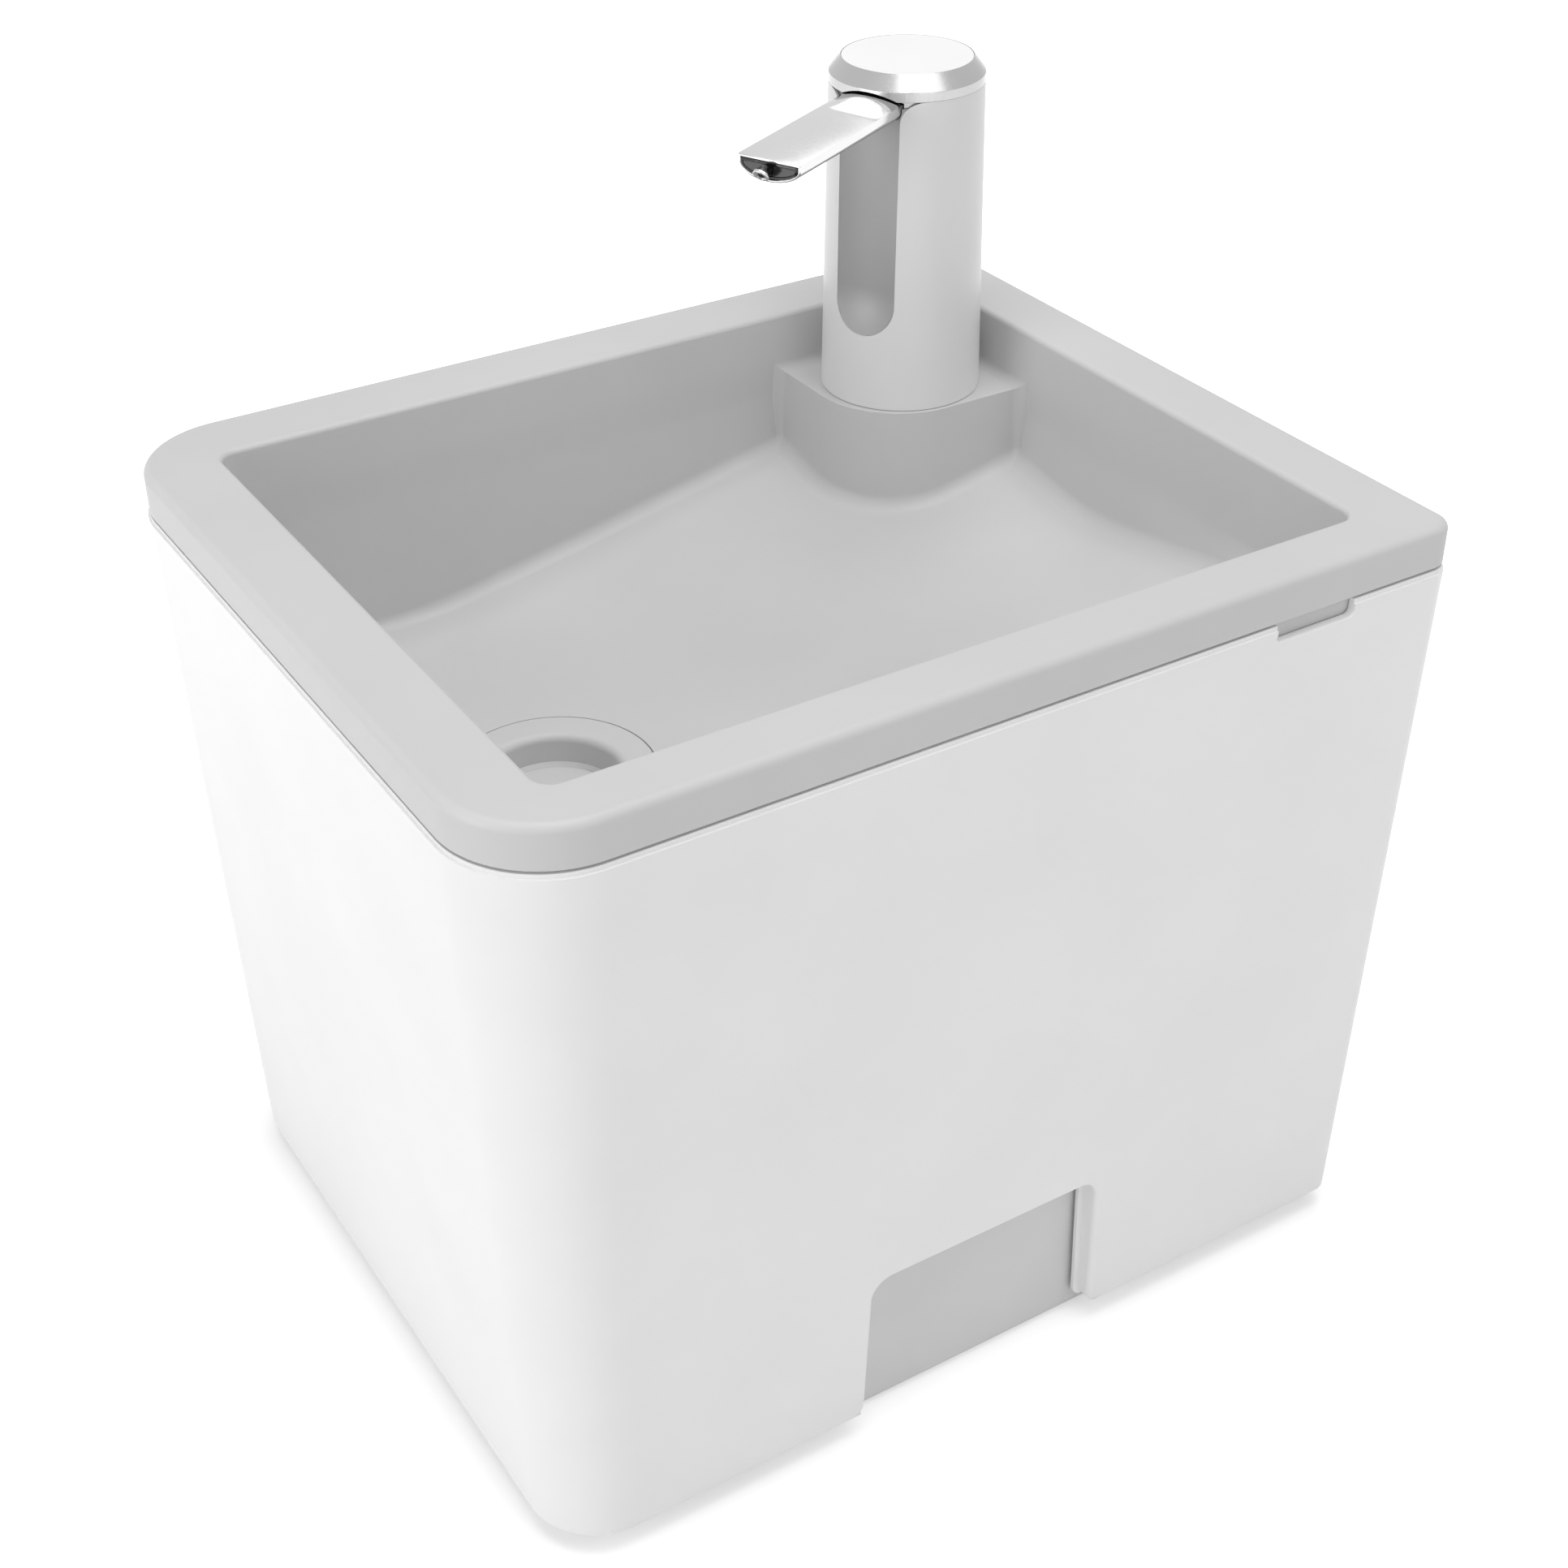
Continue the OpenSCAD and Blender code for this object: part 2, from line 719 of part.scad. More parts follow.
module mount_washer() {
    color("dimgray") at_tap()
        tube(step_z - basin_wall - washer_t, washer_t, shank_r + washer_w, shank_r + running);
}

module tap_base() {
    color("silver") at_tap() difference() {
        union() {
            translate([0, 0, tap_z]) cylinder(h = base_t, r = core_r);
            translate([0, 0, tap_z - shank_len]) cylinder(h = shank_len, r = shank_r);
        }
        translate([0, 0, tap_z - shank_len - over])
            cylinder(h = shank_len + base_t + 2 * over, r = tube_r + running);
    }
}

module lock_nut() {
    z = step_z - basin_wall - washer_t - lock_nut_h;
    color("whitesmoke") at_tap() difference() {
        union() {
            translate([0, 0, z]) cylinder(h = lock_nut_h, r = shank_r + lock_nut_w);
            for (k = [0 : lock_wings - 1])
                rotate([0, 0, 360 * k / lock_wings]) translate([shank_r + lock_nut_w, 0, z])
                    cylinder(h = lock_nut_h, r = wing_r);
        }
        translate([0, 0, z - over]) cylinder(h = lock_nut_h + 2 * over, r = shank_r + running);
    }
}

// Radius of the sleeve at a level
function sleeve_r(z) = tap_r - tap_taper * (z - tap_z) / (sleeve_top - tap_z);

// Front opening of the sleeve, in Y and Z: a round lower end and flared upper corners
function slot_outline() =
    let (half = front_slot_w / 2, low = tap_z + front_slot_z, flare_z = sleeve_top - flare_r)
    concat(
        [for (a = [180 : 15 : 360]) [half * cos(a), low + half + half * sin(a)]],
        [for (a = [180 : -15 : 90]) [half + flare_r * (1 + cos(a)), flare_z + flare_r * sin(a)]],
        [[half + flare_r, sleeve_top + over], [-half - flare_r, sleeve_top + over]],
        [for (a = [90 : -15 : 0]) [-half - flare_r * (1 - cos(a)), flare_z + flare_r * sin(a)]]);

// Room behind the charging flap, through the sleeve and a little into the core
module port_recess() {
    h = flap_h + 2 * knuckle_r + 2 * flap_gap;
    translate([-sleeve_r(tap_z + port_z) - over, -flap_w / 2 - flap_gap, tap_z + port_z - flap_h / 2 - flap_gap])
        cube([over + sleeve_wall + core_gap + port_sink + flap_w ^ 2 / (8 * tap_r), flap_w + 2 * flap_gap, h]);
}

module tap_sleeve() {
    color("white") at_tap() difference() {
        rotate_extrude() polygon([
            [core_r + core_gap, tap_z], [tap_r, tap_z], [sleeve_top_r, sleeve_top],
            [core_top_r + core_gap, sleeve_top]]);
        along_x(0, tap_r + over) polygon(slot_outline());
        port_recess();
    }
}

// Flute down the front of the core, with a rounded lower end
module core_groove() {
    half = groove_w / 2;
    sag = sqrt(core_top_r ^ 2 - half ^ 2) - groove_floor;
    r = (half ^ 2 + sag ^ 2) / (2 * sag);
    x = groove_floor + r;
    end = sqrt(r ^ 2 - (x - core_r) ^ 2);
    translate([x, 0, tap_z + front_slot_z + end]) union() {
        cylinder(h = tap_h, r = r);
        sphere(r = r);
    }
}

// Cross-section of the spout in Y and Z, grown all round by grow
function spout_section(arch, grow) =
    let (half = spout_w / 2 + grow, low = spout_h - spout_side_h + grow, step = 180 / spout_steps)
    concat(
        [for (a = [0 : step : 180]) [half * cos(a), grow + arch * sin(a) ^ 2]],
        [for (a = [180 : -step : 0]) [half * cos(a), -spout_side_h - low * sin(a)]]);

// Ring of the spout: t runs from the root at 0 to the tip at 1
function spout_ring(t, grow, shift) =
    let (
        arch = mix(root_arch, tip_arch, min(1, t / arch_end_share)),
        bow = tip_bow * max(0, (t - bow_start_share) / (1 - bow_start_share))
    )
    [for (p = spout_section(arch, grow))
        [mix(spout_root, spout_reach, t) + shift + bow * (1 - (2 * p[0] / spout_w) ^ 2), p[0],
         spout_z - spout_fall * t + p[1]]];

// Straight bore from the pump to the nozzle, given by where along X it starts and ends
module outlet_bore(x0, x1, r) {
    translate([nozzle_x, 0, nozzle_z]) rotate([0, outlet_tilt - 90, 0])
        translate([0, 0, nozzle_x - x1]) cylinder(h = x1 - x0, r = r);
}

module tap_spout() {
    color("silver") at_tap() difference() {
        ring_loft([
            for (t = [0, 0.08, 0.16, 0.24, 0.32, 0.85, 0.9, 0.95, 1]) spout_ring(t, 0, 0),
            spout_ring(1, -window_rim, 0),
            spout_ring(1, -window_rim, -window_t)
        ], strips = true);
        outlet_bore(0, nozzle_x, nozzle_r + running);
    }
}

module sensor_window() {
    grow = -window_rim - window_gap;
    color("black") at_tap() difference() {
        ring_loft([spout_ring(1, grow, -window_t + window_gap), spout_ring(1, grow, 0)], strips = true);
        outlet_bore(0, nozzle_x, nozzle_r + running);
    }
}

module spout_nozzle() {
    color("silver") at_tap() difference() {
        outlet_bore(nozzle_x - nozzle_len, nozzle_x, nozzle_r);
        outlet_bore(0, nozzle_x + over, outlet_r);
    }
}

// Tube that rises beside the battery, turns and runs through the spout
// Foot of the outlet tube, from the pump head to its upright run
module outlet_foot(r) {
    reach = norm([outlet_x, battery_off]) - motor_r - running;
    translate([outlet_x, 0, shelf_z + head_h / 2]) {
        sphere(r = r);
        rotate([0, 0, atan2(-battery_off, -outlet_x)]) rotate([0, 90, 0]) cylinder(h = reach, r = r);
    }
}

module outlet_tube() {
    r = outlet_r + outlet_wall;
    rise = nozzle_z + (nozzle_x - outlet_x) * tan(outlet_tilt);
    start = shelf_z + head_h / 2;
    color("whitesmoke") at_tap() difference() {
        union() {
            outlet_bore(outlet_x, nozzle_x - nozzle_len, r);
            translate([outlet_x, 0, start]) cylinder(h = rise - start, r = r);
            translate([outlet_x, 0, rise]) sphere(r = r);
            outlet_foot(r);
        }
        outlet_bore(outlet_x, nozzle_x, outlet_r);
    }
}

module tap_core() {
    color("darkgray") at_tap() difference() {
        translate([0, 0, core_z]) cylinder(h = core_top - core_z,
            r1 = sleeve_r(core_z) - sleeve_wall - core_gap, r2 = sleeve_r(core_top) - sleeve_wall - core_gap);
        translate([0, 0, core_z - over]) cylinder(h = core_top - core_z + 2 * over, r = core_bore_r);
        core_groove();
        spout_pocket();
        port_recess();
        translate([-tap_r, -socket_w / 2 - slip, tap_z + port_z - socket_h / 2 - slip])
            cube([tap_r - core_bore_r + over, socket_w + 2 * slip, socket_h + 2 * slip]);
    }
}

// Opening that the spout's root passes through, with a gap above it
module spout_pocket() {
    along_x(core_bore_r - over, tap_r + over)
        translate([0, spout_z]) polygon(spout_section(root_arch, slip));
}

module tap_cap() {
    color("silver") at_tap() difference() {
        rotate_extrude() polygon([
            [plunger_r + slip, web_z], [core_bore_r, web_z], [core_bore_r, core_top],
            [core_top_r, core_top], [core_top_r, sleeve_top], [sleeve_top_r, sleeve_top],
            [sleeve_top_r, tap_top - band_drop], [cap_top_r, tap_top],
            [button_r + running, tap_top], [button_r + running, web_top], [plunger_r + slip, web_top]]);
        spout_pocket();
    }
}

module tap_button() {
    gap = button_travel + slip;
    low = board_z + board_t + pad_h + gap;
    color("white") at_tap() union() {
        translate([0, 0, tap_top - button_t]) cylinder(h = button_t, r = button_r);
        translate([0, 0, low]) cylinder(h = tap_top - button_t - low, r = plunger_r);
    }
}

module button_pad() {
    color("dimgray") at_tap() translate([0, 0, board_z + board_t])
        cylinder(h = pad_h, r1 = pad_r, r2 = plunger_r);
}

// Shelf under the battery and the pump, with an upright between them that carries the board
module tap_chassis() {
    upright = outlet_x - outlet_r - outlet_wall - slip;
    color("dimgray") at_tap() difference() {
        union() {
            translate([0, 0, core_z]) cylinder(h = chassis_t, r = core_bore_r - slip);
            translate([-core_bore_r + over, -chassis_t / 2, core_z])
                cube([core_bore_r - over + upright, chassis_t, board_z - core_z]);
        }
        translate([0, 0, core_z - over]) cylinder(h = head_h, r = tube_r + running);
        outlet_foot(outlet_r + outlet_wall + slip);
    }
}

module pump_motor() {
    color("silver") at_tap() translate([0, -battery_off, shelf_z + head_h])
        cylinder(h = motor_h, r = motor_r);
}

module pump_head() {
    color("dimgray") at_tap() difference() {
        translate([0, -battery_off, shelf_z]) cylinder(h = head_h, r = motor_r);
        translate([0, 0, shelf_z - over]) cylinder(h = head_h, r = tube_r + running);
    }
}

module battery_cell() {
    color("steelblue") at_tap() translate([0, battery_off, shelf_z]) cylinder(h = battery_h, r = battery_r);
}

module circuit_board() {
    color("darkgreen") at_tap() difference() {
        translate([0, 0, board_z]) cylinder(h = board_t, r = board_r);
        translate([outlet_x, 0, board_z - over])
            cylinder(h = board_t + 2 * over, r = outlet_r + outlet_wall + slip);
    }
}

module charge_socket() {
    x0 = -sleeve_r(tap_z + port_z) + sleeve_wall + core_gap + port_sink + slip;
    len = -core_bore_r - x0;
    color("silver") at_tap() translate([x0, -socket_w / 2, tap_z + port_z - socket_h / 2]) difference() {
        cube([len, socket_w, socket_h]);
        translate([-over, socket_t, socket_t])
            cube([len, socket_w - 2 * socket_t, socket_h - 2 * socket_t]);
    }
}

// Flap that follows the sleeve's round and hangs from a knuckle at its top edge
module port_cover() {
    z = tap_z + port_z;
    r = sleeve_r(z) - running;
    color("white") at_tap() union() {
        intersection() {
            tube(z - flap_h / 2, flap_h, r, r - flap_t);
            translate([-2 * tap_r, -flap_w / 2, z - flap_h]) cube([2 * tap_r, flap_w, 2 * flap_h]);
        }
        translate([flap_pivot_x, -knuckle_w / 2, flap_pivot_z]) rotate([-90, 0, 0])
            cylinder(h = knuckle_w, r = knuckle_r);
    }
}

flap_pivot_x = -sleeve_r(tap_z + port_z) + running + knuckle_r;
flap_pivot_z = tap_z + port_z + flap_h / 2;

module suction_tube() {
    color("gainsboro") at_tap()
        tube(filter_z + filter_h / 2, core_z - filter_z - filter_h / 2, tube_r, tube_r - outlet_wall);
}

module suction_filter() {
    slots = 6;
    color("dimgray") at_tap() difference() {
        translate([0, 0, filter_z]) cylinder(h = filter_h, r = filter_r);
        translate([0, 0, filter_z + filter_h / 2]) cylinder(h = filter_h, r = tube_r);
        translate([0, 0, filter_z + over]) cylinder(h = filter_h, r = tube_r - outlet_wall);
        for (k = [0 : slots - 1])
            rotate([0, 0, 360 * k / slots]) translate([tube_r - outlet_wall - over, -outlet_wall, filter_z + 2 * over])
                cube([filter_r, 2 * outlet_wall, filter_h / 3]);
    }
}

// Ring of the waste tank at a level, moved inwards by inset
function waste_ring(z, inset) =
    let (lean = waste_lean * (waste_top - z) / waste_h + inset)
    at_z(box_ring(-waste_x + lean, waste_x - lean, waste_y0 + lean, waste_y1 - lean,
        waste_front_r - lean, waste_back_r - lean), z);

// Feet under the corners of the waste tank
module foot_places() {
    for (x = [-waste_x + foot_inset, waste_x - foot_inset], y = [waste_y0 + foot_inset, waste_y1 - foot_inset])
        translate([x, y, 0]) children();
}

module waste_tank() {
    e = waste_edge_r;
    color("lightgray") difference() {
        union() {
            ring_loft([
                for (a = [0 : 30 : 90]) waste_ring(waste_z + e * (1 - cos(a)), e * (1 - sin(a))),
                waste_ring(waste_top, 0),
                waste_ring(waste_top, waste_wall),
                for (a = [90 : -30 : 0])
                    waste_ring(waste_floor + e * (1 - cos(a)), waste_wall + e * (1 - sin(a)))
            ]);
            translate([-waste_x + waste_lean + waste_wall / 2, divider_y, waste_floor - waste_wall / 2])
                cube([2 * waste_x - 2 * waste_lean - waste_wall, waste_wall, divider_h]);
        }
        foot_places() translate([0, 0, waste_z - over]) cylinder(h = foot_sink + over, r = foot_r + slip);
    }
}

module tank_feet() {
    color("dimgray") foot_places() cylinder(h = foot_proud + foot_sink, r = foot_r);
}

// Ring of the fresh tank at a level, moved inwards by inset
function fresh_ring(z, inset) =
    let (r = fresh_r - inset)
    at_z(box_ring(-fresh_x + inset, fresh_x - inset, fresh_y0 + inset, fresh_y1 - inset, r, r), z);

module fresh_tank() {
    e = fresh_edge_r;
    w = fresh_wall;
    hole = round_ring([tap_x, tap_y], neck_r - neck_wall / 2, fresh_ring(0, e + w));
    color("whitesmoke") union() {
        ring_loft([
            for (a = [0 : 30 : 90]) fresh_ring(fresh_z + e * (1 - cos(a)), e * (1 - sin(a))),
            for (a = [90 : -30 : 0]) fresh_ring(fresh_top - e * (1 - cos(a)), e * (1 - sin(a))),
            at_z(hole, fresh_top),
            at_z(hole, fresh_top - w),
            for (a = [0 : 45 : 90]) fresh_ring(fresh_top - w - e * (1 - cos(a)), w + e * (1 - sin(a))),
            for (a = [90 : -45 : 0]) fresh_ring(fresh_z + w + e * (1 - cos(a)), w + e * (1 - sin(a)))
        ]);
        translate([tap_x, tap_y, 0])
            tube(fresh_top - w, neck_h + w, neck_r, neck_r - neck_wall);
    }
}

module tank_cap() {
    r = neck_r + slip + cap_wall;
    color("white") translate([tap_x, tap_y, 0]) difference() {
        union() {
            translate([0, 0, cap_z - cap_skirt_h]) cylinder(h = cap_skirt_h + cap_top_t, r = r);
            for (k = [0 : cap_ribs - 1])
                rotate([0, 0, 360 * k / cap_ribs]) translate([r, 0, cap_z - cap_skirt_h])
                    cylinder(h = cap_skirt_h, r = cap_rib_r);
        }
        translate([0, 0, cap_z - cap_skirt_h - over]) cylinder(h = cap_skirt_h + over, r = neck_r + slip);
        translate([0, 0, cap_z - over]) cylinder(h = cap_top_t + 2 * over, r = cap_hole_r);
    }
}

module cap_gasket() {
    color("dimgray") translate([tap_x, tap_y, 0])
        tube(neck_top, cap_seal_t, neck_r, neck_r - neck_wall);
}

waste_tank();
tank_feet();
outer_shell();
fresh_tank();
tank_cap();
cap_gasket();
basin();
drain_body();
drain_gasket();
drain_nut();
tailpipe();
plug_disc();
plug_seal();
plug_stem();
tap_seal();
mount_washer();
tap_base();
lock_nut();
tap_sleeve();
tap_core();
tap_cap();
tap_spout();
sensor_window();
spout_nozzle();
outlet_tube();
tap_chassis();
pump_motor();
pump_head();
battery_cell();
circuit_board();
charge_socket();
port_cover();
tap_button();
button_pad();
suction_tube();
suction_filter();
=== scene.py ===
"""Portable wash basin with a sensor tap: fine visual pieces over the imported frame."""

import math

import bmesh
import bpy
from mathutils import Matrix, Vector


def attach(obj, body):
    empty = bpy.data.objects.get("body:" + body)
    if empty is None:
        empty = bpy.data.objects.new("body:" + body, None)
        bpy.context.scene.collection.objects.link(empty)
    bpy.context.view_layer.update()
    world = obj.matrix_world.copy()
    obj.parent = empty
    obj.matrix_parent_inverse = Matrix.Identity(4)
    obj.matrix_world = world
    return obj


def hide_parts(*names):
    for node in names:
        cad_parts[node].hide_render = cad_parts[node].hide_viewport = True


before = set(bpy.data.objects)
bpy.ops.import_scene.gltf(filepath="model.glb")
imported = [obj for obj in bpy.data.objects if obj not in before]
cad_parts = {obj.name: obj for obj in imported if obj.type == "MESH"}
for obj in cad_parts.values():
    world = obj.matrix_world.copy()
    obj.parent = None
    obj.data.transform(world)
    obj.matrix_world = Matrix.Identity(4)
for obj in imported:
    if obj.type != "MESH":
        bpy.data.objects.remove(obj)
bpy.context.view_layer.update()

MM = 0.001

# Sizes in millimetres. Most are those of the CAD source. The bowl's floor, the rims, the drain's
# mouth and the spout's end follow the photo more closely.
OVER, SLIP, EDGE = 1, 0.3, 0.2

# Cover
BODY_W, BODY_D, SHELL_GAP, SHELL_TOP = 300, 358.5, 10, 294
SIDE_DRAFT, FRONT_DRAFT, BACK_DRAFT = 7.8, 9.8, 3.2
FRONT_R, BACK_R, SHELL_WALL, SHELL_LOW_R, INNER_EDGE = 36.5, 9.5, 3, 0.6, 0.3
REBATE_H, REBATE_D, REBATE_EDGE = 1.5, 0.75, 0.15
NOTCH_W, NOTCH_H, NOTCH_R, NOTCH_Y, NOTCH_DEPTH = 101, 64.5, 8, 2.5, 7.6
NOTCH_LEAN, NOTCH_FLARE, FRAME_WALL, LIP_W, LIP_T = 1.8, 4.5, 2, 2.4, 1.6
UNDER_Y, UNDER_H, UNDER_IN, UNDER_OUT = (-70, 75), 12, 5, 20
NOTCH_EDGE_R, SLOT_EDGE_R, ON_WALL, LEAST_TURN = 2.4, 0.8, 0.03, 1.0
SLOT_W, SLOT_H, SLOT_Y, SLOT_R = 33, 6, 117.5, 2.4
RIB_T, RIB_H, RIB_X, RIB_Y = 2, 26, 60, 107.5
RIB_SIDE, RIB_FRONT, RIB_BACK = (130.2, 145.9), (-174.9, -157.45), (164.05, 176.8)

# Basin
LID_TOP, LID_INSET, RIM_R, MOUTH_R, BASIN_WALL = 310, 0.75, 3, 2, 2.5
LID_X, LID_Y = BODY_W / 2 - LID_INSET, BODY_D / 2 - LID_INSET
SKIRT, SKIRT_WALL, SKIRT_H, LINE_H = 2.55, 2.2, 9, 0.9
BOWL_X0, BOWL_X1, BOWL_Y0, BOWL_Y1 = -121.25, 127.25, -151, 152.5
BOWL_R, JOIN_R, BOWL_DRAFT, FILLET_R, BOWL_DEPTH, LEAST_R = 6.5, 5, 2.5, 5, 88.5, 0.3
FLOOR_Z, STEP_Z, STEP_LAP, STEP_R, STEP_SHIFT, STEP_EDGE_R, STEP_FILLET_R = 221.5, 287, 6, 34, 2.5, 0.3, 3.5
STEP_DRAFT = BOWL_DRAFT * (LID_TOP - STEP_Z) / BOWL_DEPTH
RISE_SIDE, RISE_BACK, RISE_Y, RISE_ALL = 0.197, 0.182, 20, 0.037
VALLEY_X, VALLEY_W, FLOOR_BLEND, FLOOR_STEPS, FLOOR_EASE = -7, 22, 3, 26, 0.8

# Drain and plug
DRAIN_Y, FLANGE_R, FLANGE_T, FLANGE_EDGE_R = -87, 36, 3, 0.15
GROOVE_W, GROOVE_TOP_W = 0.45, 0.6
DRAIN_R, DRAIN_OUT_R, DRAIN_LEN, DRAIN_LIP_R, COLLAR_W = 23.5, 27, 36, 3, 1.4
SEAT_W, SEAT_T, SEAT_DROP, SEAT_EDGE = 4, 2.5, 1, 0.4
PLUG_Z, PLUG_T, PLUG_CHAMFER, PLUG_GAP = 209.5, 3, 0.3, 0.1
HUB_R, HUB_BORE, ARM_W, ARM_H, ARM_START, ARM_END = 6, 3.06, 3, 4, 5, 25.2

# Tanks
WASTE_X, WASTE_Y0, WASTE_Y1, WASTE_Z, WASTE_TOP = 133.2, -160.45, 167.05, 1, 187
WASTE_WALL, WASTE_LEAN, WASTE_FRONT_R, WASTE_BACK_R, WASTE_EDGE_R, WASTE_RIM_R = 3, 0.6, 24, 12, 4, 0.8
DIVIDER_Y, DIVIDER_H, DIVIDER_EDGE = -8, 120, 0.6
FRESH_X, FRESH_Y0, FRESH_Y1, FRESH_Z, FRESH_TOP = 124.6, 0, 158.45, 4, 164
FRESH_R, FRESH_EDGE_R, FRESH_WALL = 14, 6, 2.5
NECK_R, NECK_WALL, NECK_TOP, NECK_FOOT_R, NECK_EDGE = 20, 3, 179, 1.5, 0.5

# Tap
TAP_X, TAP_Y, TAP_Z, TAP_TOP, TAP_DIR = -88, 116.5, 288, 415, -64.5
STEP_X, STEP_Y = TAP_X + STEP_R - STEP_SHIFT, TAP_Y - STEP_R
TAP_R, TAP_TOP_R, SLEEVE_TOP, SLEEVE_WALL, SLEEVE_LIFT = 31, 29, 406, 1.2, 0.15
CORE_GAP, CORE_BORE_R, BASE_T, INSERT_SINK = 0.1, 20.5, 4, 0.04
FRONT_SLOT_W, FRONT_SLOT_Z, FLARE_R, FLUTE_FLOOR, FLUTE_OVER = 25, 28, 8, 23.2, 0.15
CAP_TOP_R, CAP_BAND, CAP_WEB_T, BUTTON_R, BUTTON_T, BUTTON_TRAVEL = 24.6, 5.5, 2.4, 24.4, 2.4, 1.2
PLUNGER_R, PLUNGER_LOW, BUTTON_GAP = 3, 400.1, 0.06
SPOUT_Z, SPOUT_FALL, SPOUT_ROOT, SPOUT_REACH, SPOUT_W = 405, 2, 21.2, 93.6, 25.4
SPOUT_SIDE_H, SPOUT_H, SPOUT_EDGE_R, TIP_BOW, BOW_START = 2.6, 7.6, 0.35, 1.4, 0.85
ROOT_ARCH, TIP_ARCH, ARCH_START, ARCH_END = 3.4, 0.5, 0.09, 0.3
WINDOW_RIM, WINDOW_T, WINDOW_GAP, BEZEL_W, BEZEL_SINK = 1.0, 1.2, 0.1, 0.9, 0.08
NOZZLE_X, NOZZLE_Z, NOZZLE_R, NOZZLE_TURN, NOZZLE_TILT = 99.1, 398.5, 3, 1.9, 42
FACE_R, FACE_SINK, RING_LEN, NECK_ROD_R, NECK_X, NECK_SPACE_X = 2.1, 0.4, 1.2, 2.1, 93.6, 80
PORT_Z, PORT_SINK, FLAP_W, FLAP_H, FLAP_GAP, KNUCKLE_R = 32, 0.7, 15, 9, 0.35, 0.7

# Light in watts and metres: name, place, size and power of each lamp
LAMPS = [("top", (0.1, 0.0, 2.2), 1.4, 20), ("front", (0.0, -1.9, 0.6), 1.2, 13.5),
         ("side", (1.3, 0.4, 1.9), 1.2, 6.4), ("low_side", (2.1, -0.1, 0.35), 1.2, 6),
         ("behind", (-1.45, 1.0, 1.6), 0.7, 1.6)]
LAMP_AIM = (0, 0, 0.2)
SKY_LEVEL = 0.3
GROUND_HALF, GROUND_COLOUR = 9, (0.86, 0.86, 0.86, 1)
GROUND_GLOW = (0.2, 0.9, 0.42, 1)   # from and to this far from the middle, and its strength there

# Camera fitted to the photograph: place in millimetres, yaw, pitch and roll in degrees, and the
# focal length and the frame's width in pixels
CAMERA_PLACE, CAMERA_TURN = (631.75, -384.976, 677.841), (148.179, 33.646, 0.315)
FOCAL_PX, FRAME_PX, SENSOR_W = 2950.725, 1932, 36

AT_TAP = Matrix.Translation((TAP_X * MM, TAP_Y * MM, 0)) @ Matrix.Rotation(math.radians(TAP_DIR), 4, "Z")
AT_DRAIN = Matrix.Translation((0, DRAIN_Y * MM, 0))


def mix(a, b, t):
    return a + (b - a) * t


def arc(start, end, steps):
    """Angles from start to end in degrees, both included, as radians."""
    return [math.radians(mix(start, end, k / steps)) for k in range(steps + 1)]


# Outlines

def corner(a, b, c, r, n):
    """Round corner at b between the legs to a and c."""
    a, b, c = Vector(a), Vector(b), Vector(c)
    u, v = (a - b).normalized(), (c - b).normalized()
    half = u.angle(v) / 2
    centre = b + (u + v).normalized() * r / math.sin(half)
    s = b + u * r / math.tan(half) - centre
    e = b + v * r / math.tan(half) - centre
    sweep = math.pi - 2 * half
    return [centre + (s * math.sin((1 - t) * sweep) + e * math.sin(t * sweep)) / math.sin(sweep)
            for t in (k / (n - 1) for k in range(n))]


def between(a, b, count):
    return [a.lerp(b, k / (count + 1)) for k in range(1, count + 1)]


def outline(verts, radii, counts, extras):
    """Polygon with rounded corners, each of so many points, and extra points on each side."""
    m = len(verts)
    arcs = [corner(verts[i - 1], verts[i], verts[(i + 1) % m], radii[i], counts[i]) for i in range(m)]
    ring = []
    for i in range(m):
        ring += arcs[i] + between(arcs[i][-1], arcs[(i + 1) % m][0], extras[i])
    return ring


def box_ring(x0, x1, y0, y1, rf, rb, steps=22):
    """Rectangle with front corners of radius rf and back corners of radius rb."""
    return outline([(x0, y0), (x1, y0), (x1, y1), (x0, y1)], [rf, rf, rb, rb], [steps] * 4, [0] * 4)


def at_z(ring, z):
    return [Vector((p[0], p[1], z)) for p in ring]


def circle(centre, r, ring):
    """Circle round centre with a point in the direction of each point of a ring."""
    return [Vector(centre) + (Vector((p[0], p[1])) - Vector(centre)).normalized() * r for p in ring]


# Meshes

def new_object(name, verts, faces):
    mesh = bpy.data.meshes.new(name)
    mesh.from_pydata([Vector(v) * MM for v in verts], [], faces)
    obj = bpy.data.objects.new(name, mesh)
    bpy.context.scene.collection.objects.link(obj)
    edit(obj, lambda bm: bmesh.ops.remove_doubles(bm, verts=bm.verts, dist=1e-7))
    return obj


def edit(obj, change):
    """Makes a change to the mesh and turns all its faces outwards."""
    bm = bmesh.new()
    bm.from_mesh(obj.data)
    change(bm)
    bmesh.ops.recalc_face_normals(bm, faces=bm.faces)
    bm.to_mesh(obj.data)
    bm.free()


def loft(name, rings, looped=False):
    """Skin over rings with equal counts; its ends are capped unless the rings loop."""
    n, m = len(rings[0]), len(rings)
    faces = [(k * n + i, k * n + (i + 1) % n, (k + 1) % m * n + (i + 1) % n, (k + 1) % m * n + i)
             for k in range(m if looped else m - 1) for i in range(n)]
    if not looped:
        faces += [list(range(n))[::-1], [(m - 1) * n + i for i in range(n)]]
    return new_object(name, [p for ring in rings for p in ring], faces)


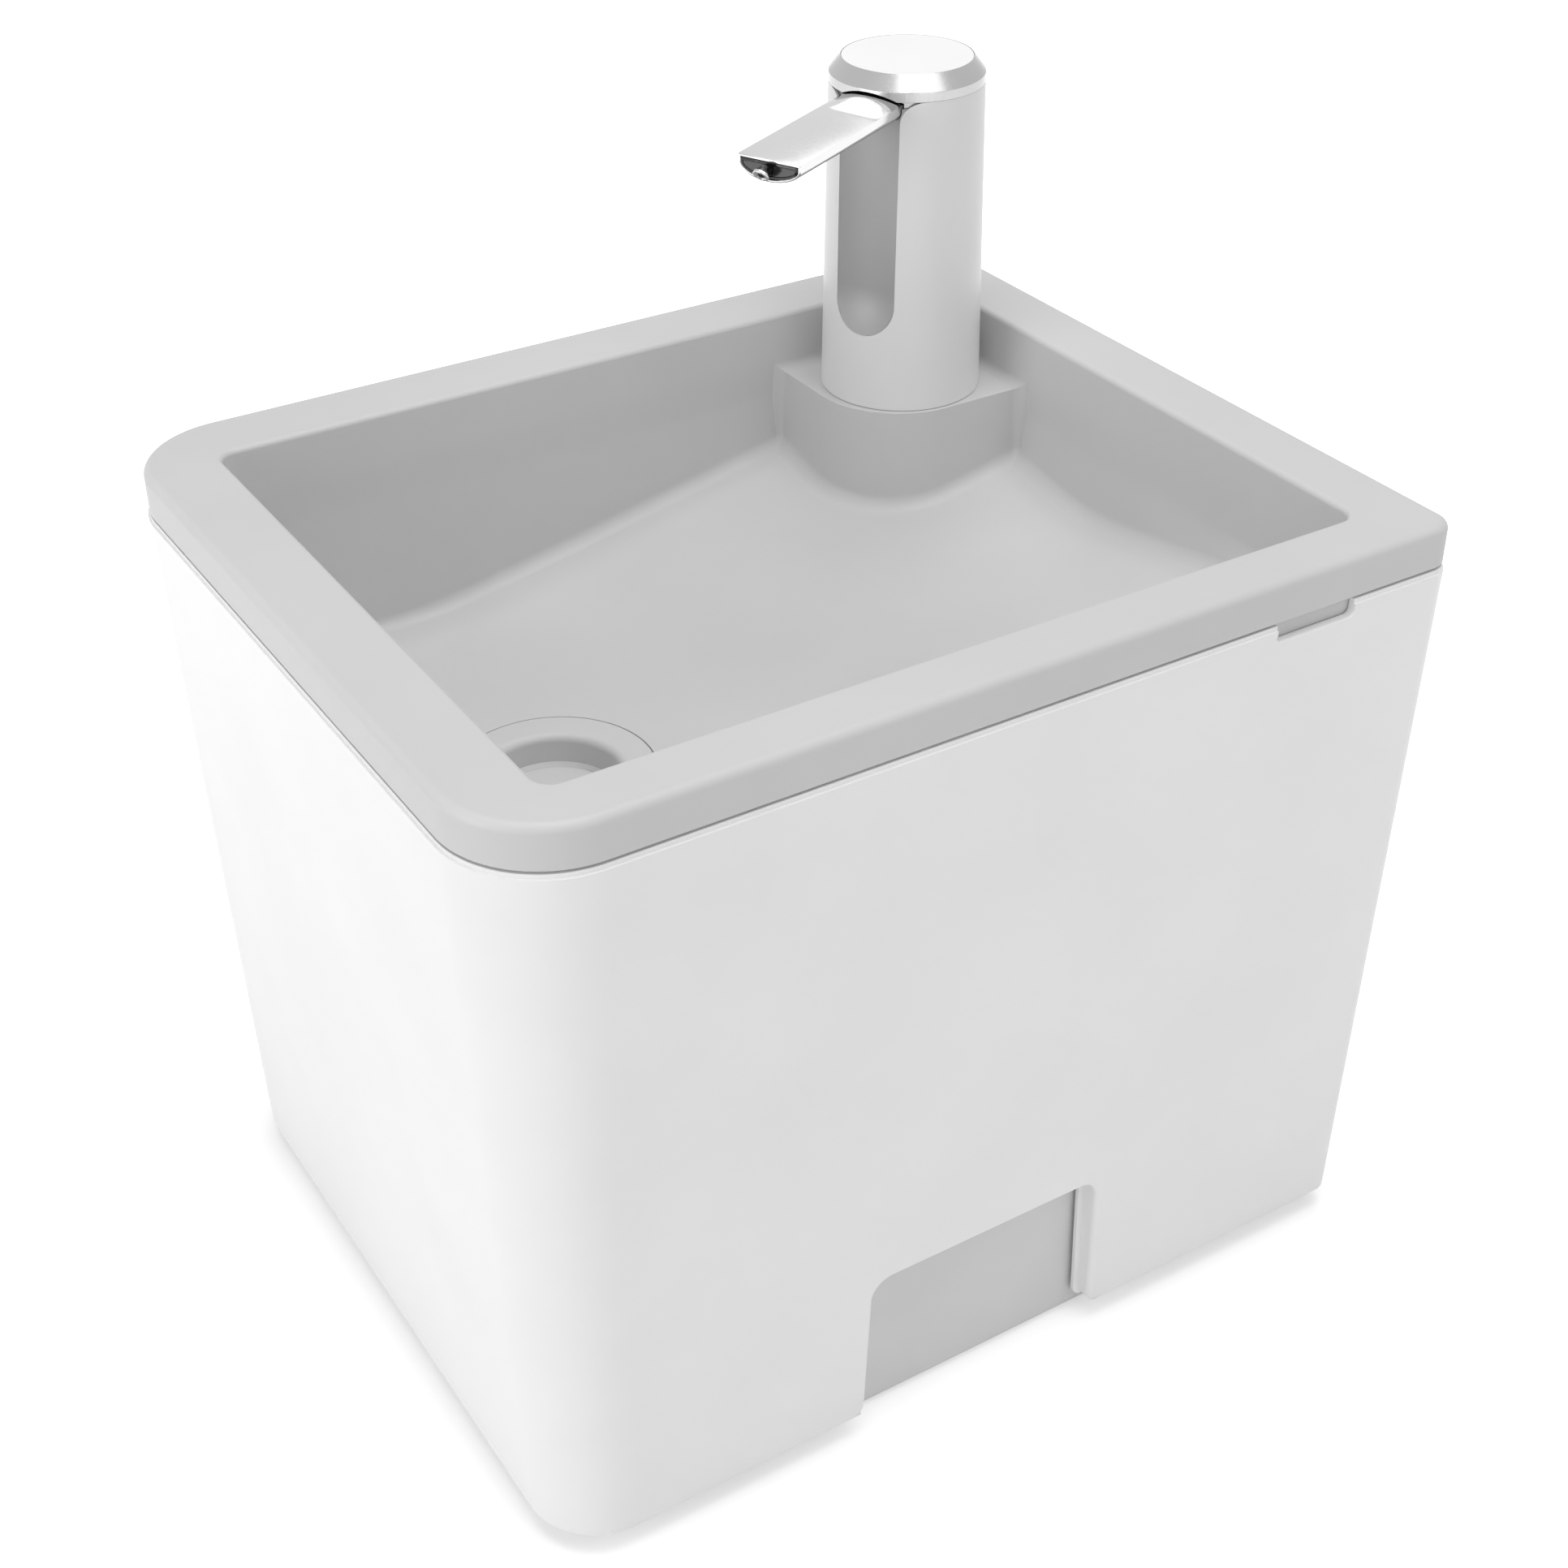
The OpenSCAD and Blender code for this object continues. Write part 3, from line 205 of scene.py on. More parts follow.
def revolve(name, profile, steps=128):
    """Closed profile of (radius, height), turned round Z."""
    rings = [[(r * math.cos(a), r * math.sin(a), z) for r, z in profile]
             for a in (2 * math.pi * k / steps for k in range(steps))]
    return loft(name, rings, looped=True)


def rounded(profile, r, steps=3):
    """Profile with each corner rounded by r, or by its own radius where a point has a third value."""
    out, m = [], len(profile)
    for i, p in enumerate(profile):
        own = p[2] if len(p) > 2 else r
        if own:
            before, after = profile[i - 1][:2], profile[(i + 1) % m][:2]
            out += [tuple(q) for q in corner(before, p[:2], after, own, steps + 1)]
        else:
            out.append(tuple(p[:2]))
    return out


def prism_x(name, section, x0, x1):
    """Straight run of a section in Y and Z along X."""
    return loft(name, [[(x, p[0], p[1]) for p in section] for x in (x0, x1)])


def box(name, low, high):
    section = [(low[1], low[2]), (high[1], low[2]), (high[1], high[2]), (low[1], high[2])]
    return prism_x(name, section, low[0], high[0])


def join(obj, *others):
    """Adds the other meshes to obj as separate shells."""
    bm = bmesh.new()
    for o in (obj, *others):
        bm.from_mesh(o.data)
    bm.to_mesh(obj.data)
    bm.free()
    for o in others:
        bpy.data.objects.remove(o)
    return obj


def boolean(obj, operation, *tools):
    """Applies the tools to the mesh one after the other and deletes them."""
    for tool in tools:
        mod = obj.modifiers.new("boolean", "BOOLEAN")
        mod.operation, mod.object, mod.solver = operation, tool, "EXACT"
    made = obj.evaluated_get(bpy.context.evaluated_depsgraph_get())
    mesh = bpy.data.meshes.new_from_object(made)
    obj.modifiers.clear()
    obj.data = mesh
    for tool in tools:
        bpy.data.objects.remove(tool)
    return obj


def carve(obj, *tools):
    return boolean(obj, "DIFFERENCE", *tools)


def finish(obj, body, nodes, material, bevel=0.0, sharp=32, place=None):
    """Shades the piece, gives it its material and puts it in the place of its CAD nodes."""
    if place:
        obj.data.transform(place)

    def mark(bm):
        for edge in bm.edges:
            edge.smooth = len(edge.link_faces) == 2 and edge.calc_face_angle() < math.radians(sharp)
        for face in bm.faces:
            face.smooth = True
    edit(obj, mark)
    if bevel:
        mod = obj.modifiers.new("edge", "BEVEL")
        mod.width, mod.segments, mod.use_clamp_overlap, mod.harden_normals = bevel * MM, 2, True, False
        mod.limit_method, mod.angle_limit = "ANGLE", math.radians(sharp)
    mod = obj.modifiers.new("normals", "WEIGHTED_NORMAL")
    mod.keep_sharp, mod.weight = not bevel, 60
    obj.data.materials.clear()
    obj.data.materials.append(MATERIALS[material])
    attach(obj, body)
    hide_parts(*nodes)
    return obj


def soften(node, body, material, bevel=0.25, sharp=32):
    """Piece with the shape of a CAD node and rounded edges."""
    obj = bpy.data.objects.new(node + "_fine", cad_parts[node].data.copy())
    bpy.context.scene.collection.objects.link(obj)
    if obj.data.has_custom_normals:
        with bpy.context.temp_override(object=obj, active_object=obj):
            bpy.ops.mesh.customdata_custom_splitnormals_clear()
    edit(obj, lambda bm: (bmesh.ops.remove_doubles(bm, verts=bm.verts, dist=2e-6),
                          bmesh.ops.dissolve_limit(bm, angle_limit=0.002, verts=bm.verts, edges=bm.edges)))
    return finish(obj, body, [node], material, bevel, sharp)


# Materials

def srgb(value):
    v = value / 255
    return ((v + 0.055) / 1.055) ** 2.4 if v > 0.04045 else v / 12.92


def grey(value, tint=(0, 0, 0)):
    return tuple(srgb(value + t) for t in tint) + (1,)


class Nodes:
    """Small helper that builds one node material."""

    def __init__(self, name):
        self.material = bpy.data.materials.new(name)
        self.material.use_nodes = True
        self.tree = self.material.node_tree
        self.shader = self.tree.nodes["Principled BSDF"]
        self.place = self.add("ShaderNodeTexCoord").outputs["Object"]

    def add(self, kind, **values):
        node = self.tree.nodes.new(kind)
        for key, value in values.items():
            if key in node.inputs:
                node.inputs[key].default_value = value
            else:
                setattr(node, key, value)
        return node

    def link(self, a, b):
        self.tree.links.new(a, b)

    def noise(self, scale, detail=2.0, stretch=None):
        node = self.add("ShaderNodeTexNoise", Scale=scale, Detail=detail)
        where = self.place
        if stretch:
            mapping = self.add("ShaderNodeMapping", Scale=stretch)
            self.link(where, mapping.inputs["Vector"])
            where = mapping.outputs["Vector"]
        self.link(where, node.inputs["Vector"])
        return node.outputs["Fac"]

    def ramp(self, source, low, high, start=0.35, end=0.65):
        """Colour from low to high as the source goes from start to end."""
        node = self.add("ShaderNodeValToRGB")
        node.color_ramp.elements[0].position, node.color_ramp.elements[0].color = start, low
        node.color_ramp.elements[1].position, node.color_ramp.elements[1].color = end, high
        self.link(source, node.inputs["Fac"])
        return node.outputs["Color"]

    def span(self, source, low, high):
        node = self.add("ShaderNodeMapRange")
        for key, value in (("From Min", 0.3), ("From Max", 0.7), ("To Min", low), ("To Max", high)):
            node.inputs[key].default_value = value
        self.link(source, node.inputs["Value"])
        return node.outputs["Result"]

    def bump(self, source, strength, distance=0.0001):
        node = self.add("ShaderNodeBump", Strength=strength, Distance=distance)
        self.link(source, node.inputs["Height"])
        self.link(node.outputs["Normal"], self.shader.inputs["Normal"])


def surface(name, low, high, rough, grain, strength, stretch=None, wide=14.0, **sockets):
    """Material whose colour drifts from low to high, with a grain that roughens and lifts it."""
    m = Nodes(name)
    m.link(m.ramp(m.noise(wide, 3), low, high), m.shader.inputs["Base Color"])
    fine = m.noise(grain, 4, stretch)
    m.link(m.span(fine, *rough), m.shader.inputs["Roughness"])
    m.bump(fine, strength)
    for key, value in sockets.items():
        m.shader.inputs[key.replace("_", " ")].default_value = value
    return m.material


MATERIALS = {
    "white": surface("white_plastic", grey(243), grey(246), (0.30, 0.38), 1600, 0.06),
    "grey": surface("grey_basin", grey(206), grey(209), (0.42, 0.55), 2600, 0.16),
    "waste": surface("waste_grey", grey(217), grey(222), (0.5, 0.65), 2200, 0.25),
    "milky": surface("clear_white", grey(232, (-3, 0, 1)), grey(238, (-3, 0, 1)), (0.3, 0.45), 900, 0.08,
                     Subsurface_Weight=0.2, Subsurface_Scale=0.004),
    "pearl": surface("tap_white", grey(232), grey(236), (0.32, 0.40), 2400, 0.08),
    "flute": surface("core_grey", grey(164), grey(170), (0.40, 0.52), 2600, 0.14, Metallic=0.15),
    "chrome": surface("chrome", grey(200), grey(206), (0.10, 0.15), 700, 0.02, Metallic=1.0),
    "satin": surface("satin_metal", grey(176), grey(184), (0.20, 0.28), 1500, 0.05, (1, 1, 0.05),
                     Metallic=1.0),
    "steel": surface("steel", grey(178), grey(190), (0.28, 0.42), 1200, 0.15, (1, 1, 0.04),
                     Metallic=1.0),
    # Near-black ring round the window glass: partly the bezel's own black, partly painted shade standing in
    # for the shaded gap of the window's recess
    "bezel_and_gap_shade": surface("black_bezel_and_gap_shade", grey(10), grey(16), (0.12, 0.18), 500, 0.01),
    "glass": surface("dark_window", grey(50), grey(60), (0.08, 0.12), 500, 0.01, Coat_Weight=0.4),
    "rubber": surface("rubber", grey(44), grey(54), (0.75, 0.9), 1800, 0.35),
    "dark": surface("dark_plastic", grey(60), grey(68), (0.5, 0.65), 1700, 0.2),
    "nylon": surface("nylon", grey(226, (1, 0, -3)), grey(232, (1, 0, -3)), (0.45, 0.6), 1500, 0.15),
    "silicone": surface("silicone", grey(222), grey(230), (0.35, 0.5), 900, 0.1,
                        Subsurface_Weight=0.3, Subsurface_Scale=0.003),
    "cell": surface("cell_blue", grey(96, (-50, 0, 60)), grey(104, (-50, 0, 62)), (0.25, 0.35), 600, 0.05),
    "board": surface("board_green", grey(84, (-60, 10, -30)), grey(94, (-60, 14, -30)), (0.3, 0.45),
                     900, 0.2),
}


# Cover

def shell_ring(z, inset):
    """Outline of the drafted walls at a height, moved in by inset."""
    t = (SHELL_TOP - z) / (SHELL_TOP - SHELL_GAP)
    return at_z(box_ring(
        -BODY_W / 2 + SIDE_DRAFT * t + inset, BODY_W / 2 - SIDE_DRAFT * t - inset,
        -BODY_D / 2 + FRONT_DRAFT * t + inset, BODY_D / 2 - BACK_DRAFT * t - inset,
        FRONT_R - FRONT_DRAFT * t - inset, BACK_R - BACK_DRAFT * t / 2 - inset, 28), z)


def wall_x(z):
    """Outer face of the right wall."""
    return BODY_W / 2 - SIDE_DRAFT * (SHELL_TOP - z) / (SHELL_TOP - SHELL_GAP)


def notch_outline(grow):
    """Grip notch in Y and Z, open at the bottom and grown all round by grow."""
    half, low, top = NOTCH_W / 2 + grow, SHELL_GAP - OVER, SHELL_GAP + NOTCH_H + grow
    spread = half + 3 * NOTCH_FLARE
    ring = outline(
        [(-spread, low), (-half, SHELL_GAP), (-half + NOTCH_LEAN, top),
         (half - NOTCH_LEAN, top), (half, SHELL_GAP), (spread, low)],
        [0.2, NOTCH_FLARE, NOTCH_R + grow, NOTCH_R + grow, NOTCH_FLARE, 0.2], [2, 10, 14, 14, 10, 2], [0] * 6)
    return [(p[0] + NOTCH_Y, p[1]) for p in ring]


def bevel_wall_edges(obj, low, high, r, segments):
    """Rounds the sharp edges that lie on the right wall between the heights low and high."""
    def on_wall(vert):
        z = vert.co.z / MM
        return low < z < high and abs(vert.co.x / MM - wall_x(z)) < ON_WALL

    def bevel(bm):
        rim = [e for e in bm.edges if len(e.link_faces) == 2 and all(on_wall(v) for v in e.verts)
               and e.calc_face_angle() > LEAST_TURN]
        bmesh.ops.bevel(bm, geom=rim, offset=r * MM, offset_type="OFFSET", segments=segments,
                        profile=0.5, affect="EDGES", clamp_overlap=False)
    edit(obj, bevel)


def rib(x, y):
    return box("rib", (x[0], y[0], WASTE_TOP), (x[1], y[1], WASTE_TOP + RIB_H))


def shell():
    r = SHELL_LOW_R
    bottom = [shell_ring(SHELL_GAP + r * (1 - math.cos(a)), r * (1 - math.sin(a))) for a in arc(0, 90, 3)]
    top = [shell_ring(SHELL_TOP - REBATE_H + z, inset) for z, inset in
           ((-REBATE_EDGE, 0), (0, REBATE_EDGE), (0, REBATE_D),
            (REBATE_H - EDGE, REBATE_D), (REBATE_H, REBATE_D + EDGE))]
    inside = [shell_ring(SHELL_TOP, SHELL_WALL - INNER_EDGE), shell_ring(SHELL_TOP - INNER_EDGE, SHELL_WALL),
              shell_ring(SHELL_GAP + INNER_EDGE, SHELL_WALL), shell_ring(SHELL_GAP, SHELL_WALL - INNER_EDGE)]
    obj = loft("cover_shell", bottom + top + inside, looped=True)
    x0, x1 = BODY_W / 2 - SIDE_DRAFT - NOTCH_DEPTH, BODY_W / 2 - SIDE_DRAFT - SHELL_WALL / 5
    boolean(obj, "UNION", prism_x("notch_frame", notch_outline(FRAME_WALL), x0, x1))
    y0, y1, slot_z, slot_top = SLOT_Y - SLOT_W / 2, SLOT_Y + SLOT_W / 2, SHELL_TOP - SLOT_H, SHELL_TOP + OVER
    slot = outline([(y0, slot_top), (y0, slot_z), (y1, slot_z), (y1, slot_top)],
                   [0.2, SLOT_R, SLOT_R, 0.2], [2, 10, 10, 2], [0] * 4)
    carve(obj,
          prism_x("notch_space", notch_outline(0), x0 + LIP_T, BODY_W / 2 + OVER),
          prism_x("notch_mouth", notch_outline(-LIP_W), x0 - OVER, x0 + LIP_T + OVER),
          box("ground_space", (x0 - UNDER_IN, UNDER_Y[0], SHELL_GAP - UNDER_H),
              (x1 + UNDER_OUT, UNDER_Y[1], SHELL_GAP)),
          prism_x("slot_space", slot, BODY_W / 2 - SHELL_WALL - OVER, BODY_W / 2 + OVER))
    edit(obj, lambda bm: bmesh.ops.remove_doubles(bm, verts=bm.verts, dist=1e-6))
    bevel_wall_edges(obj, SHELL_GAP + SHELL_LOW_R - 0.05, SHELL_GAP + NOTCH_H + 2, NOTCH_EDGE_R, 6)
    bevel_wall_edges(obj, slot_z - 1, SHELL_TOP - REBATE_H - 0.3, SLOT_EDGE_R, 3)
    ribs = []
    for s in (-1, 1):
        side, middle = sorted(s * x for x in RIB_SIDE), (s * RIB_X - RIB_T / 2, s * RIB_X + RIB_T / 2)
        ribs += [rib(side, (y - RIB_T / 2, y + RIB_T / 2)) for y in (-RIB_Y, RIB_Y)]
        ribs += [rib(middle, RIB_FRONT), rib(middle, RIB_BACK)]
    join(obj, *ribs)
    return finish(obj, "cover", ["outer_shell"], "white", sharp=30)


# Basin

# Points of a bowl outline in each corner and on each side after it
COUNTS, EXTRAS = [28, 28, 18, 10, 40, 10], [14, 40, 28, 0, 0, 34]
STEP_FIRST = sum(COUNTS[:3]) + sum(EXTRAS[:3])
STEP_LAST = STEP_FIRST + sum(COUNTS[3:]) - 1


def over_step(i):
    """Whether point i of a bowl outline is on the step's side of it."""
    return STEP_FIRST < i < STEP_LAST


def floor_at(p):
    """Height of the floor: a faint rise from the drain all round, and two ramps that meet in a valley."""
    base = FLOOR_Z + RISE_ALL * max(0, math.hypot(p[0], p[1] - DRAIN_Y) - FLANGE_R - 1)
    side = math.hypot(p[0] - VALLEY_X, VALLEY_W) - VALLEY_W
    s = RISE_SIDE * side + RISE_BACK * (p[1] - RISE_Y)
    if s < -FLOOR_BLEND:
        return base
    return base + (s if s > FLOOR_BLEND else (s + FLOOR_BLEND) ** 2 / (4 * FLOOR_BLEND))


def low_ring(d, step_d=None):
    """Bowl outline beside the step, moved into the bowl by d, and by step_d at the step."""
    step_d = d if step_d is None else step_d
    x0, x1, y0, y1 = BOWL_X0 + d, BOWL_X1 - d, BOWL_Y0 + d, BOWL_Y1 - d
    sx, sy = STEP_X + step_d, STEP_Y - step_d
    r, j = max(LEAST_R, BOWL_R - d), max(LEAST_R, JOIN_R - d)
    return outline([(x0, y0), (x1, y0), (x1, y1), (sx, y1), (sx, sy), (x0, sy)],
                   [r, r, r, j, STEP_R + step_d, j], COUNTS, EXTRAS)


def full_ring(x0, x1, y0, y1, rf, rb):
    """Rectangle with as many points as a bowl ring, in the same order."""
    fl = corner((x0, y1), (x0, y0), (x1, y0), rf, COUNTS[0])
    fr = corner((x0, y0), (x1, y0), (x1, y1), rf, COUNTS[1])
    br = corner((x1, y0), (x1, y1), (x0, y1), rb, COUNTS[2])
    bl = corner((x1, y1), (x0, y1), (x0, y0), rb, COUNTS[4])
    turns = arc(0, 90, COUNTS[3] - 1)
    back = [Vector((STEP_X + JOIN_R * (1 - math.sin(a)), y1)) for a in turns]
    left = [Vector((x0, STEP_Y - JOIN_R * (1 - math.cos(a)))) for a in turns]
    return (fl + between(fl[-1], fr[0], EXTRAS[0]) + fr + between(fr[-1], br[0], EXTRAS[1]) + br
            + between(br[-1], back[0], EXTRAS[2]) + back + bl + left + between(left[-1], fl[0], EXTRAS[5]))


def high_ring(d):
    """Bowl outline above the step, moved into the bowl by d."""
    return full_ring(BOWL_X0 + d, BOWL_X1 - d, BOWL_Y0 + d, BOWL_Y1 - d, BOWL_R - d, BOWL_R - d)


def lid_ring(inset, z):
    return at_z(full_ring(-LID_X + inset, LID_X - inset, -LID_Y + inset, LID_Y - inset,
                          FRONT_R - LID_INSET - inset, BACK_R - LID_INSET - inset), z)


def floor_fillet(a, wall):
    """Ring of the fillet round the floor, at the angle a, or of its outside a wall further out."""
    r = FILLET_R + wall
    return [Vector((p[0], p[1], floor_at(p) - wall + r * (1 - math.cos(a))))
            for p in low_ring(BOWL_DRAFT - wall + r * (1 - math.sin(a)))]


def floor_ring(t, wall):
    """Ring of the floor from the drain at 0 to the fillet at 1."""
    edge = low_ring(BOWL_DRAFT + FILLET_R)
    hole = circle((0, DRAIN_Y), FLANGE_R + GROOVE_TOP_W, edge)
    points = [h.lerp(e, t) for h, e in zip(hole, edge)]
    return [Vector((p[0], p[1], floor_at(p) - wall)) for p in points]


def drain_ring(r, z):
    return at_z(circle((0, DRAIN_Y), r, low_ring(BOWL_DRAFT + FILLET_R)), z)


def edge_climb():
    """Per ring point: the angle at which the fillet behind the step starts, and its height there.

    Near its two ends the step's edge runs into the wall, so there the fillet starts part way up."""
    wall_x0, wall_y1 = BOWL_X0 + STEP_DRAFT, BOWL_Y1 - STEP_DRAFT
    out = []
    for i, p in enumerate(low_ring(STEP_DRAFT)):
        room = min(p[0] - wall_x0, wall_y1 - p[1]) if over_step(i) else STEP_FILLET_R
        a = math.asin(1 - max(0.0, min(1.0, room / STEP_FILLET_R)))
        out.append((a, STEP_FILLET_R * (1 - math.cos(a))))
    return out


def step_edge(wall, a=0.0, lap=STEP_LAP):
    """Edge of the step, rounded by STEP_EDGE_R over the angle a; its other points run on down the walls."""
    r = STEP_EDGE_R
    plain = low_ring(STEP_DRAFT - wall)
    turned = low_ring(STEP_DRAFT - wall, STEP_DRAFT - wall - r * (1 - math.cos(a)))
    climb = edge_climb()
    ring = []
    for i, p in enumerate(plain):
        if over_step(i):
            full = 1 if climb[i][0] < 0.01 else 0
            ring.append(Vector((mix(p[0], turned[i][0], full), mix(p[1], turned[i][1], full),
                                STEP_Z - wall + climb[i][1] - r * (1 - math.sin(a)))))
        else:
            ring.append(Vector((p[0], p[1], STEP_Z - wall - lap)))
    return ring


def step_fillet(t):
    """Fillet between the step and the walls behind it, from the step at 0 to the wall at 1."""
    wall, inner, edge = high_ring(STEP_DRAFT), high_ring(STEP_DRAFT + STEP_FILLET_R), low_ring(STEP_DRAFT)
    climb = edge_climb()
    ring = []
    for i, p in enumerate(wall):
        a = mix(climb[i][0], math.pi / 2, t)
        q = p
        if over_step(i):
            share = 1 - math.sin(a)
            start = climb[i][0]
            q = p.lerp(edge[i], share / (1 - math.sin(start))) if start > 0.01 else p.lerp(inner[i], share)
        ring.append(Vector((q[0], q[1], STEP_Z + STEP_FILLET_R * (1 - math.cos(a)))))
    return ring


def basin():
    seat_r = FLANGE_R + SLIP + BASIN_WALL
    top = [drain_ring(DRAIN_OUT_R + SLIP, FLOOR_Z - FLANGE_T - BASIN_WALL),
           drain_ring(DRAIN_OUT_R + SLIP, FLOOR_Z - FLANGE_T),
           drain_ring(FLANGE_R + SLIP, FLOOR_Z - FLANGE_T),
           drain_ring(FLANGE_R + GROOVE_W, FLOOR_Z - FLANGE_EDGE_R)]
    top += [floor_ring((k / FLOOR_STEPS) ** FLOOR_EASE, 0) for k in range(FLOOR_STEPS)]
    top += [floor_fillet(a, 0) for a in arc(0, 90, 8)]
    top += [step_edge(0, a, STEP_LAP * (2 - math.sin(a))) for a in arc(0, 90, 3)]
    top += [step_fillet(k / 7) for k in range(8)]
    top += [at_z(high_ring(-MOUTH_R * (1 - math.cos(a))), LID_TOP - MOUTH_R * (1 - math.sin(a)))
            for a in arc(0, 90, 7)]
    top += [lid_ring(RIM_R * (1 - math.cos(a)), LID_TOP - RIM_R * (1 - math.sin(a))) for a in arc(90, 0, 7)]
    under = LID_TOP - BASIN_WALL
    skirt_low, line_z = SHELL_TOP - SKIRT_H, SHELL_TOP + LINE_H
    low = [lid_ring(0, line_z + 0.3), lid_ring(0.3, line_z), lid_ring(SKIRT, line_z),
           lid_ring(SKIRT + SLIP, skirt_low), lid_ring(SKIRT + SKIRT_WALL, skirt_low),
           lid_ring(SKIRT + SKIRT_WALL, under), at_z(high_ring(-BASIN_WALL), under),
           at_z(high_ring(STEP_DRAFT - BASIN_WALL), STEP_Z - BASIN_WALL), step_edge(BASIN_WALL, math.pi / 2)]
    low += [floor_fillet(a, BASIN_WALL) for a in arc(90, 0, 6)]
    low += [floor_ring(k / 14, BASIN_WALL) for k in range(14, 0, -1)]
    low += [drain_ring(seat_r, FLOOR_Z - BASIN_WALL), drain_ring(seat_r, FLOOR_Z - FLANGE_T - BASIN_WALL)]
    return finish(loft("basin_bowl", top + low, looped=True), "bowl", ["basin"], "grey", sharp=34)


# Drain and plug

def drain():
    seat_z, seat_r = PLUG_Z - PLUG_T - SEAT_DROP, DRAIN_R - SEAT_W
    lip = [(DRAIN_R + DRAIN_LIP_R * (1 - math.cos(a)), FLOOR_Z - DRAIN_LIP_R * (1 - math.sin(a)))
           for a in arc(0, 90, 10)]
    r = FLANGE_EDGE_R
    edge = [(FLANGE_R - r * (1 - math.sin(a)), FLOOR_Z - r * (1 - math.cos(a))) for a in arc(0, 90, 3)]
    bottom, collar_r, collar_z = FLOOR_Z - DRAIN_LEN, DRAIN_R - COLLAR_W, PLUG_Z - EDGE
    obj = revolve("drain_flange", [
        (seat_r, seat_z - SEAT_T), (seat_r, seat_z - SEAT_EDGE), (seat_r + SEAT_EDGE, seat_z),
        (collar_r, seat_z), (collar_r, collar_z), (DRAIN_R, collar_z + COLLAR_W)] + lip + edge + [
        (FLANGE_R, FLOOR_Z - FLANGE_T), (DRAIN_OUT_R, FLOOR_Z - FLANGE_T),
        (DRAIN_OUT_R, bottom), (DRAIN_R, bottom), (DRAIN_R, seat_z - SEAT_T)], 160)
    low = seat_z - SEAT_T / 2 - ARM_H
    high = low + ARM_H
    hub = [(HUB_BORE, low), (HUB_R, low), (HUB_R, high), (HUB_BORE, high)]
    arms = [revolve("hub", rounded(hub, 0.3), 48)]
    for turn in range(30, 360, 60):
        arm = box("arm", (ARM_START, -ARM_W / 2, low), (ARM_END, ARM_W / 2, high))
        arm.data.transform(Matrix.Rotation(math.radians(turn), 4, "Z"))
        arms.append(arm)
    join(obj, *arms)
    finish(obj, "bowl", ["drain_body"], "grey", place=AT_DRAIN)

    r, low = collar_r - PLUG_GAP, PLUG_Z - PLUG_T
    plug = revolve("plug_top", rounded([
        (0.01, low, 0), (r, low), (r, PLUG_Z - PLUG_CHAMFER), (r - PLUG_CHAMFER, PLUG_Z),
        (0.01, PLUG_Z, 0)], 0.1), 128)
    finish(plug, "plug", ["plug_disc"], "grey", place=AT_DRAIN)


# Tanks

def waste_ring(z, inset):
    lean = WASTE_LEAN * (WASTE_TOP - z) / (WASTE_TOP - WASTE_Z) + inset
    return at_z(box_ring(-WASTE_X + lean, WASTE_X - lean, WASTE_Y0 + lean, WASTE_Y1 - lean,
                         WASTE_FRONT_R - lean, WASTE_BACK_R - lean, 20), z)


def waste_tank():
    e, w, top = WASTE_EDGE_R, WASTE_WALL, WASTE_TOP
    outer = [waste_ring(WASTE_Z + e * (1 - math.cos(a)), e * (1 - math.sin(a))) for a in arc(0, 90, 7)]
    r = WASTE_RIM_R
    rim = [waste_ring(top - r, 0), waste_ring(top - EDGE, EDGE), waste_ring(top, r),
           waste_ring(top, w - r), waste_ring(top - EDGE, w - EDGE), waste_ring(top - r, w)]
    inner = [waste_ring(WASTE_Z + w + e * (1 - math.cos(a)), w + e * (1 - math.sin(a)))
             for a in arc(90, 0, 7)]
    obj = loft("waste_tub", outer + rim + inner)
    side, low, edge = WASTE_X - WASTE_LEAN - w / 2, WASTE_Z + w / 2, DIVIDER_EDGE
    high = low + DIVIDER_H
    section = [(0, low), (w, low), (w, high - edge), (w - edge, high), (edge, high), (0, high - edge)]
    wall = loft("divider", [[(x, DIVIDER_Y + y, z) for y, z in section] for x in (-side, side)])
    join(obj, wall)
    finish(obj, "base", ["waste_tank"], "waste")


def fresh_ring(z, inset):
    r, x = FRESH_R - inset, FRESH_X - inset
    return at_z(box_ring(-x, x, FRESH_Y0 + inset, FRESH_Y1 - inset, r, r, 20), z)


def fresh_tank():
    e, w, inner_r = FRESH_EDGE_R, FRESH_WALL, NECK_R - NECK_WALL
    base = fresh_ring(0, e + w)

    def neck(r, z):
        return at_z(circle((TAP_X, TAP_Y), r, base), z)

    def rounds(inset, start, end, top, steps):
        """Rings of the rounded edge round the tank's top or bottom, moved in by inset."""
        z, way = (FRESH_TOP - inset, -1) if top else (FRESH_Z + inset, 1)
        return [fresh_ring(z + way * e * (1 - math.cos(a)), inset + e * (1 - math.sin(a)))
                for a in arc(start, end, steps)]
    rings = rounds(0, 0, 90, False, 7) + rounds(0, 90, 0, True, 7)
    rings += [neck(NECK_R + NECK_FOOT_R, FRESH_TOP), neck(NECK_R + 0.4, FRESH_TOP + 0.4),
              neck(NECK_R, FRESH_TOP + NECK_FOOT_R), neck(NECK_R, NECK_TOP - NECK_EDGE),
              neck(NECK_R - NECK_EDGE, NECK_TOP), neck(inner_r + NECK_EDGE, NECK_TOP),
              neck(inner_r, NECK_TOP - NECK_EDGE), neck(inner_r, FRESH_TOP - w)]
    rings += rounds(w, 0, 90, True, 4) + rounds(w, 90, 0, False, 4)
    finish(loft("fresh_tub", rings), "fresh", ["fresh_tank"], "milky")


# Tap, in its own place: the spout along X

